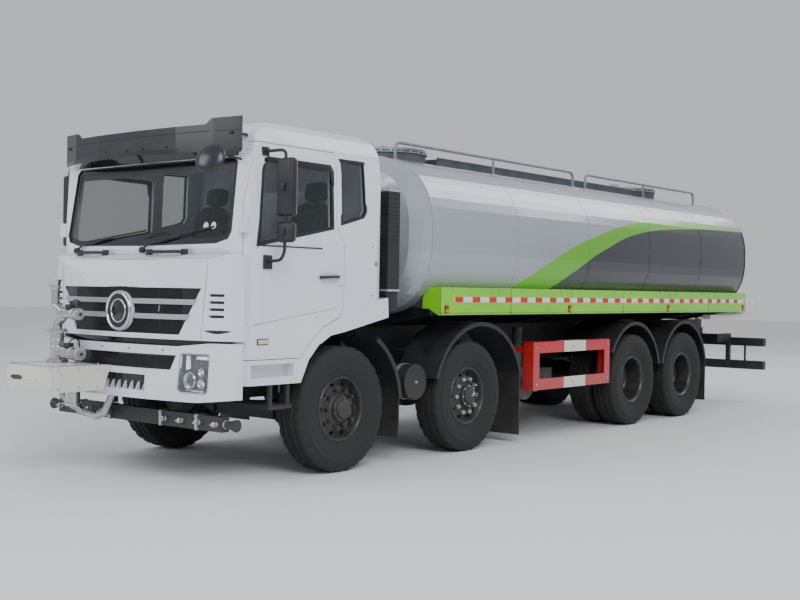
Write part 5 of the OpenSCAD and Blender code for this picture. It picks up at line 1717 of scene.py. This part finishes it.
    def side(self) -> None:
        """Builds the lockers' seams, hinges, tape, reflectors and the strips above them."""
        piece = Shape("locker_doors")
        low, high = self.lockers_y
        x = self.half_w + 0.0002
        bays = 6
        step = (high - low) / bays
        for k in range(bays + 1):
            y = min(max(low + k * step, low + 0.006), high - 0.006)
            piece.box(at(x - 0.004, y - 0.004, 1.348), at(x + 0.0004, y + 0.004, 1.598), GLOSS_BLACK)
            if k < bays:
                for t in (0.18, 0.82):
                    piece.box(at(x - 0.002, y + step * t - 0.022, 1.560), at(x + 0.007, y + step * t + 0.022,
                            1.602), LOCKER_LIME, 0.003)
                    piece.tube([at(x + 0.006, y + step * t - 0.026, 1.598), at(x + 0.006, y + step * t
                            + 0.026, 1.598)], 0.005, ZINC, 8)
        for z in (1.3445, 1.6015):
            piece.tube([at(x - 0.001, low + 0.002, z), at(x - 0.001, high - 0.002, z)], 0.0035, LOCKER_LIME,
                       8)
        piece.both_sides().ride("root", "locker_green")
        tape = Shape("reflective_tape")
        tape.box(at(x, low + 0.22, 1.464), at(x + 0.0012, high - 0.05, 1.515), WHITE_TAPE)
        red = Shape("red")
        red.box((0, 0, 0), (0.0012, 0.132, 0.051), RED_TAPE)
        span = (high - 0.05) - (low + 0.22)
        blocks = REPEAT.make(Pattern.ROW, red, RED_TAPE, 24, step=(0, span / 24.2, 0))
        tape.take(blocks, RED_TAPE, Matrix.Translation(at(x + 0.0008, low + 0.23, 1.464)))
        tape.both_sides().ride("root", "locker_green")
        lamps = Shape("side_marker_lamps")
        for y in (low + 0.10, low + 2.35, low + 4.75, high - 0.06):
            lamps.box(at(x - 0.001, y - 0.034, 1.362), at(x + 0.005, y + 0.034, 1.436), BLACK_PLASTIC, 0.004)
            lamps.box(at(x + 0.003, y - 0.026, 1.400), at(x + 0.012, y + 0.026, 1.430), RED_LENS, 0.004, 3)
            lamps.box(at(x + 0.003, y - 0.026, 1.368), at(x + 0.012, y + 0.026, 1.396), AMBER, 0.004, 3)
        lamps.both_sides().ride("root", "lamp_glass")

    def build(self) -> None:
        """Builds everything on the tank."""
        self.seams()
        self.lids()
        self.deck()
        self.side()


@dataclass
class Seats:
    """Two padded seats with side bolsters, stitched grooves and headrests."""

    x: float = 0.66
    fill: float = 0.85

    @staticmethod
    def pad(name: str, half: tuple[float, float, float], crown: float, dip: float) -> Shape:
        """One crowned foam pad, drawn round the origin with its top along +Z.

        Args:
            name: The piece's name.
            half: Half its width, length and thickness.
            crown: How far its middle swells.
            dip: How deep its stitched grooves are.

        Returns:
            The pad.
        """
        pad = Shape(name)
        rings = []
        steps, around = 34, 64
        for k in range(steps + 1):
            v = math.sin((k / steps - 0.5) * math.pi)
            ring = []
            for j in range(around):
                a = 2 * math.pi * j / around
                c, s = math.cos(a), math.sin(a)
                shrink = (1 - abs(v) ** 5) ** 0.35 if abs(v) < 1 else 0.0
                u = math.copysign(abs(c) ** 0.42, c) * max(shrink, 0.02)
                w = math.copysign(abs(s) ** 0.55, s) * (0.25 + 0.75 * max(shrink, 0.02))
                swell = crown * (1 - u * u) * (1 - v * v) if s > 0 else 0.0
                bolster = 0.45 * crown * max(0.0, abs(u) - 0.62) / 0.38 * (1 - v ** 4) if s > 0 else 0.0
                groove = dip * (math.exp(-((abs(u) - 0.60) / 0.045) ** 2)
                                + math.exp(-((v - 0.30) / 0.05) ** 2)
                                + math.exp(-((v + 0.25) / 0.05) ** 2)) if s > 0.2 and abs(v) < 0.9 else 0.0
                ring.append(Vector((u * half[0], v * half[1], w * half[2] + swell * 0.6 + bolster - groove)))
            rings.append(ring)
        pad.loft(rings, SEAT_CLOTH)
        return pad

    def place(self, pad: Shape, where: Vector, tilt: float) -> None:
        """Turns a pad about X and moves it.

        Args:
            pad: The pad.
            where: Where its middle goes.
            tilt: Its turn in degrees.
        """
        turn = Matrix.Translation(where) @ Matrix.Rotation(math.radians(tilt), 4, "X")
        for vert in pad.bm.verts:
            vert.co = turn @ vert.co

    def build(self) -> None:
        """Builds both seats: cushion, backrest, headrest and the plastic base with its slides."""
        for side, s in (("left", 1), ("right", -1)):
            x = s * self.x
            parts = (("cushion", (0.238, 0.248, 0.058), 0.022, 0.006, at(x, -0.220, 1.698), 0.0),
                     ("backrest", (0.238, 0.325, 0.055), 0.020, 0.006, at(x, 0.090, 2.020), 79.7),
                     ("headrest", (0.128, 0.088, 0.042), 0.010, 0.002, at(x, 0.181, 2.436), 79.7))
            for name, half, crown, dip, where, tilt in parts:
                pad = self.pad(f"{side}_seat_{name}", half, crown, dip)
                self.place(pad, where, tilt)
                pad.ride("root", "seat_fabric", "seats")
            base = Shape(f"{side}_seat_base")
            base.prism([(-0.40, 1.272), (-0.04, 1.272), (-0.08, 1.40), (-0.05, 1.644), (-0.39, 1.644),
                        (-0.36, 1.40)], side_place, x - 0.18, x + 0.18, CABIN_PLASTIC, 0.012)
            for t in (-0.15, 0.15):
                base.box(at(x + t - 0.02, -0.43, 1.640), at(x + t + 0.02, 0.0, 1.658), ZINC, 0.004)
                base.tube([at(x + t * 0.35, 0.155, 2.30), at(x + t * 0.35, 0.175, 2.40)], 0.007, CHROME, 10)
            base.disc(at(x + s * 0.238, 0.0, 1.72), (s, 0, 0), 0.035, 0.012, CABIN_PLASTIC, 0.004, 24)
            base.box(at(x - 0.19, -0.03, 1.655), at(x + 0.19, 0.035, 1.72), CABIN_PLASTIC, 0.01)
            base.ride("root", "seat_fabric", "seats")


@dataclass
class Undercarriage:
    """Air tanks, fuel tank, guards, intake, spring clamps, frame rivets and the rear platform's fittings."""

    rail_x: float = 0.43
    guards_y: tuple[float, float] = (2.91, 4.54)

    def tanks(self) -> None:
        """Builds straps, end rings, drains and the fuel tank's filler."""
        piece = Shape("air_tank_fittings")
        y, z, r = 1.03, 0.72, 0.165
        side = Vector((1, 0, 0))
        for x in (0.62, 1.02):
            piece.turn([(r - 0.001, -0.018), (r + 0.0035, -0.018), (r + 0.0035, 0.018), (r - 0.001, 0.018)],
                       at(x, y, z), side, ZINC, 56)
        piece.turn([(r - 0.002, -0.012), (r + 0.003, -0.012), (r + 0.003, 0.006), (r - 0.002, 0.006)],
                   at(1.09, y, z), side, CHASSIS, 56)
        fasten(piece, at(1.148, y, z), side, 0.028, 0.014, 0.012)
        piece.disc(at(0.82, y, z - r + 0.002), (0, 0, -1), 0.014, 0.022, ZINC, 0.003, 16)
        piece.ride("root", "chassis_black")
        fuel = Shape("fuel_tank_fittings")
        for y in (3.36, 3.74, 4.12):
            strap = [(y - 0.025, 0.547), (y + 0.025, 0.547), (y + 0.025, 1.053), (y - 0.025, 1.053)]
            fuel.prism(strap, side_place, -1.063, -1.058, ZINC, 0.001)
            fuel.box(at(-1.06, y - 0.025, 1.048), at(-0.52, y + 0.025, 1.0535), ZINC, 0.001)
        fuel.turn([(0, 0), (0.052, 0), (0.052, 0.018), (0.046, 0.026), (0.02, 0.030), (0, 0.030)],
                  at(-0.95, 3.20, 1.045), (0, 0, 1), GLOSS_BLACK, 32)
        for z in (0.63, 0.97):
            fuel.tube([at(-1.0605, 3.12, z), at(-1.0605, 4.36, z)], 0.003, ALLOY, 6)
        fuel.ride("root", "tank_alloy")

    def guards(self) -> None:
        """Builds the side guards' bolt heads and thin red edge strips along them."""
        piece = Shape("side_guard_bolts")
        low, high = self.guards_y
        for y in (low + 0.06, low + 0.80, high - 0.06):
            for z in (0.595, 0.985):
                fasten(piece, at(1.2395, y, z), (1, 0, 0), 0.024, 0.010, 0.006)
        for z in (0.538, 1.042):
            piece.tube([at(1.236, low + 0.01, z), at(1.236, high - 0.01, z)], 0.0035, GUARD_RED, 6)
        piece.both_sides().ride("root", "guard_red")

    def intake(self) -> None:
        """Builds the air intake's corrugation, clamps and louvres."""
        piece = Shape("air_intake_ribs")
        for k in range(23):
            z = 1.60 + 0.036 * k
            outline = [(1.037, 0.542), (1.198, 0.542), (1.198, 0.708), (1.037, 0.708)]
            piece.prism(outline, top_place, z, z + 0.014, BLACK_PLASTIC, 0.005)
        for z in (1.565, 2.46):
            piece.prism([(1.034, 0.539), (1.201, 0.539), (1.201, 0.711), (1.034, 0.711)], top_place,
                        z - 0.008, z + 0.012, ZINC, 0.003)
        for k in range(7):
            piece.box(at(1.1795, 0.56, 1.39 + 0.023 * k), at(1.184, 0.70, 1.399 + 0.023 * k), SLATE_PLASTIC,
                      0.001)
        piece.ride("root", "black_plastic")

    def frame_parts(self) -> None:
        """Builds rivet rows on the rails and the spring clamps' bolts and nuts."""
        rivet = Shape("rivet")
        rivet.turn([(0, 0), (0.013, 0), (0.012, 0.004), (0.007, 0.008), (0, 0.009)], (0, 0, 0), (1, 0, 0),
                   CHASSIS, 12)
        piece = Shape("frame_rivets")
        rows = REPEAT.make(Pattern.GRID, rivet, CHASSIS, 52, 2, step=(0, 0.18, 0), row_step=(0, 0, 0.14))
        piece.take(rows, CHASSIS, Matrix.Translation(at(self.rail_x, -1.0, 0.93)))
        piece.both_sides().ride("root", "chassis_black")
        bolts = Shape("spring_clamps")
        for y in (0.0, 1.85, 5.15, 6.50):
            for dy in (-0.075, 0.075):
                for x in (0.475, 0.565):
                    bolts.tube([at(x, y + dy, 0.64), at(x, y + dy, 0.83)], 0.011, ZINC, 10)
                    fasten(bolts, at(x, y + dy, 0.815), (0, 0, 1), 0.032, 0.018, 0.012)
        bolts.both_sides().ride("root", "chassis_black")

    def rear(self) -> None:
        """Builds the platform's striped edge and chequer, rear lamps, plate and tape."""
        piece = Shape("rear_platform_edge")
        for k in range(23):
            finish = YELLOW if k % 2 else GLOSS_BLACK
            piece.box(at(-1.15 + 0.1 * k, 9.0495, 1.452), at(-1.05 + 0.1 * k, 9.0525, 1.498), finish)
        chequer(piece, CREAM, (27, 4), (0.082, 0.075), at(-1.09, 8.74, 1.5))
        piece.ride("root", "cream_paint")
        lamps = Shape("rear_lamps")
        for x0, finish in ((0.84, RED_LENS), (0.95, AMBER), (1.05, LENS)):
            lamps.box(at(x0, 9.358, 0.846), at(x0 + 0.095, 9.372, 0.914), finish, 0.006, 3)
        lamps.box(at(0.83, 9.352, 0.838), at(1.155, 9.364, 0.922), GLOSS_BLACK, 0.004)
        lamps.box(at(1.05, 9.3585, 0.49), at(1.12, 9.366, 0.585), RED_LENS, 0.005, 3)
        for k in range(6):
            lamps.box(at(0.06 + 0.12 * k, 9.3590, 0.515), at(0.18 + 0.12 * k, 9.3612, 0.565),
                      RED_TAPE if k % 2 else WHITE_TAPE)
        lamps.both_sides()
        lamps.box(at(-0.23, 9.354, 0.828), at(0.23, 9.362, 0.936), ZINC, 0.003)
        lamps.box(at(-0.22, 9.361, 0.834), at(0.22, 9.3635, 0.930), CREAM, 0.001)
        lamps.ride("root", "lamp_glass")

    def build(self) -> None:
        """Builds everything below the cab and the tank."""
        self.tanks()
        self.guards()
        self.intake()
        self.frame_parts()
        self.rear()


ASSEMBLIES: tuple = (Wheels(), CabFront(), CabSides(), WaterGear(), TankTop(), Seats(), Undercarriage())


@dataclass
class Studio:
    """Floor, lights and camera."""

    eye: tuple[float, float, float] = (7.765, -11.008, 1.575)
    ahead: tuple[float, float, float] = (-0.631, 0.776, -0.009)
    roll: float = 0.94
    lens: float = 51.8
    floor_half: float = 60.0

    def build(self) -> None:
        """Sets up the floor, the backdrop light, three soft lamps and the camera."""
        floor = Shape("studio_floor")
        half = self.floor_half
        floor.add([(-half, -half, 0), (half, -half, 0), (half, half, 0), (-half, half, 0)], [(0, 1, 2, 3)],
                  Finish("studio_floor_paint", "#e9eaec", "#e4e5e8", 4000, 0.7))
        plane = bpy.data.objects.new("studio_floor", floor.mesh())
        bpy.context.scene.collection.objects.link(plane)
        world = bpy.data.worlds.new("studio_world")
        bpy.context.scene.world = world
        world.use_nodes = True
        world.node_tree.nodes["Background"].inputs["Color"].default_value = srgb("#eef1f5")
        world.node_tree.nodes["Background"].inputs["Strength"].default_value = 0.7
        for name, where, size, watts in (
            ("key_light", (13.0, -11.0, 12.0), 9.0, 1900),
            ("front_light", (-6.0, -18.0, 9.0), 9.0, 1000),
            ("rear_light", (4.0, 15.0, 13.0), 10.0, 900),
        ):
            lamp = bpy.data.lights.new(name, "AREA")
            lamp.energy, lamp.size = watts, size
            holder = bpy.data.objects.new(name, lamp)
            bpy.context.scene.collection.objects.link(holder)
            holder.location = where
            holder.rotation_euler = (Vector((0, 0, 1)) - Vector(where)).to_track_quat("-Z", "Y").to_euler()
        lens = bpy.data.cameras.new("camera")
        lens.lens, lens.sensor_width = self.lens, 36.0
        camera = bpy.data.objects.new("camera", lens)
        bpy.context.scene.collection.objects.link(camera)
        back = -Vector(self.ahead).normalized()
        right = Vector((0, 0, 1)).cross(back).normalized()
        up = back.cross(right)
        camera.matrix_world = Matrix.Translation(self.eye) @ Matrix(
            (right, up, back)
        ).transposed().to_4x4() @ Matrix.Rotation(math.radians(self.roll), 4, "Z")
        bpy.context.scene.camera = camera


NODE_FINISHES: dict[str, Finish] = {
    "frame": CHASSIS, "subframe": CHASSIS, "engine": CAST_GREY, "driveline": CHASSIS, "axles": CHASSIS,
    "leaf_springs": CHASSIS, "cab_shell": CAB_WHITE, "cab_glass": GLASS, "front_panel": CAB_WHITE,
    "bumper": BUMPER_WHITE, "headlamps": LENS, "sun_visor": SLATE_PLASTIC, "corner_mirror": SLATE_PLASTIC,
    "dashboard": CABIN_PLASTIC, "seats": SEAT_CLOTH, "cab_steps": BLACK_PLASTIC, "air_intake": BLACK_PLASTIC,
    "spray_bar": CHASSIS, "valve_box": CREAM, "water_pipes": STAINLESS, "tank": TANK_SILVER,
    "tank_deck": DECK_GREY, "top_rails": RAIL_GREY, "side_lockers": LOCKER_LIME, "side_guards": GUARD_RED,
    "mudguards": BLACK_PLASTIC, "air_tanks": CHASSIS, "fuel_tank": ALLOY, "water_pump": CAST_GREY,
    "rear_platform": CREAM, "underrun_bars": CHASSIS, "front_manhole_lid": LID_SILVER,
    "rear_manhole_lid": LID_SILVER,
}
SIDED_FINISHES: dict[str, Finish] = {
    "door_glass": GLASS, "door": CAB_WHITE, "mirrors": BLACK_PLASTIC, "knuckle": FORGED, "rim": RIM_BLACK,
    "tyre": TYRE,
}


def dress_nodes() -> None:
    """Gives every CAD node its finish."""
    for name, node in frame["nodes"].items():
        finish = NODE_FINISHES.get(name) or next(f for key, f in SIDED_FINISHES.items() if key in name)
        node.data.materials.clear()
        node.data.materials.append(finish.material())


def main() -> None:
    """Builds the studio and every sub-assembly."""
    logging.basicConfig(level=logging.INFO, format="%(name)s: %(message)s")
    Studio().build()
    dress_nodes()
    for assembly in ASSEMBLIES:
        assembly.build()


if __name__ == "__main__":
    main()
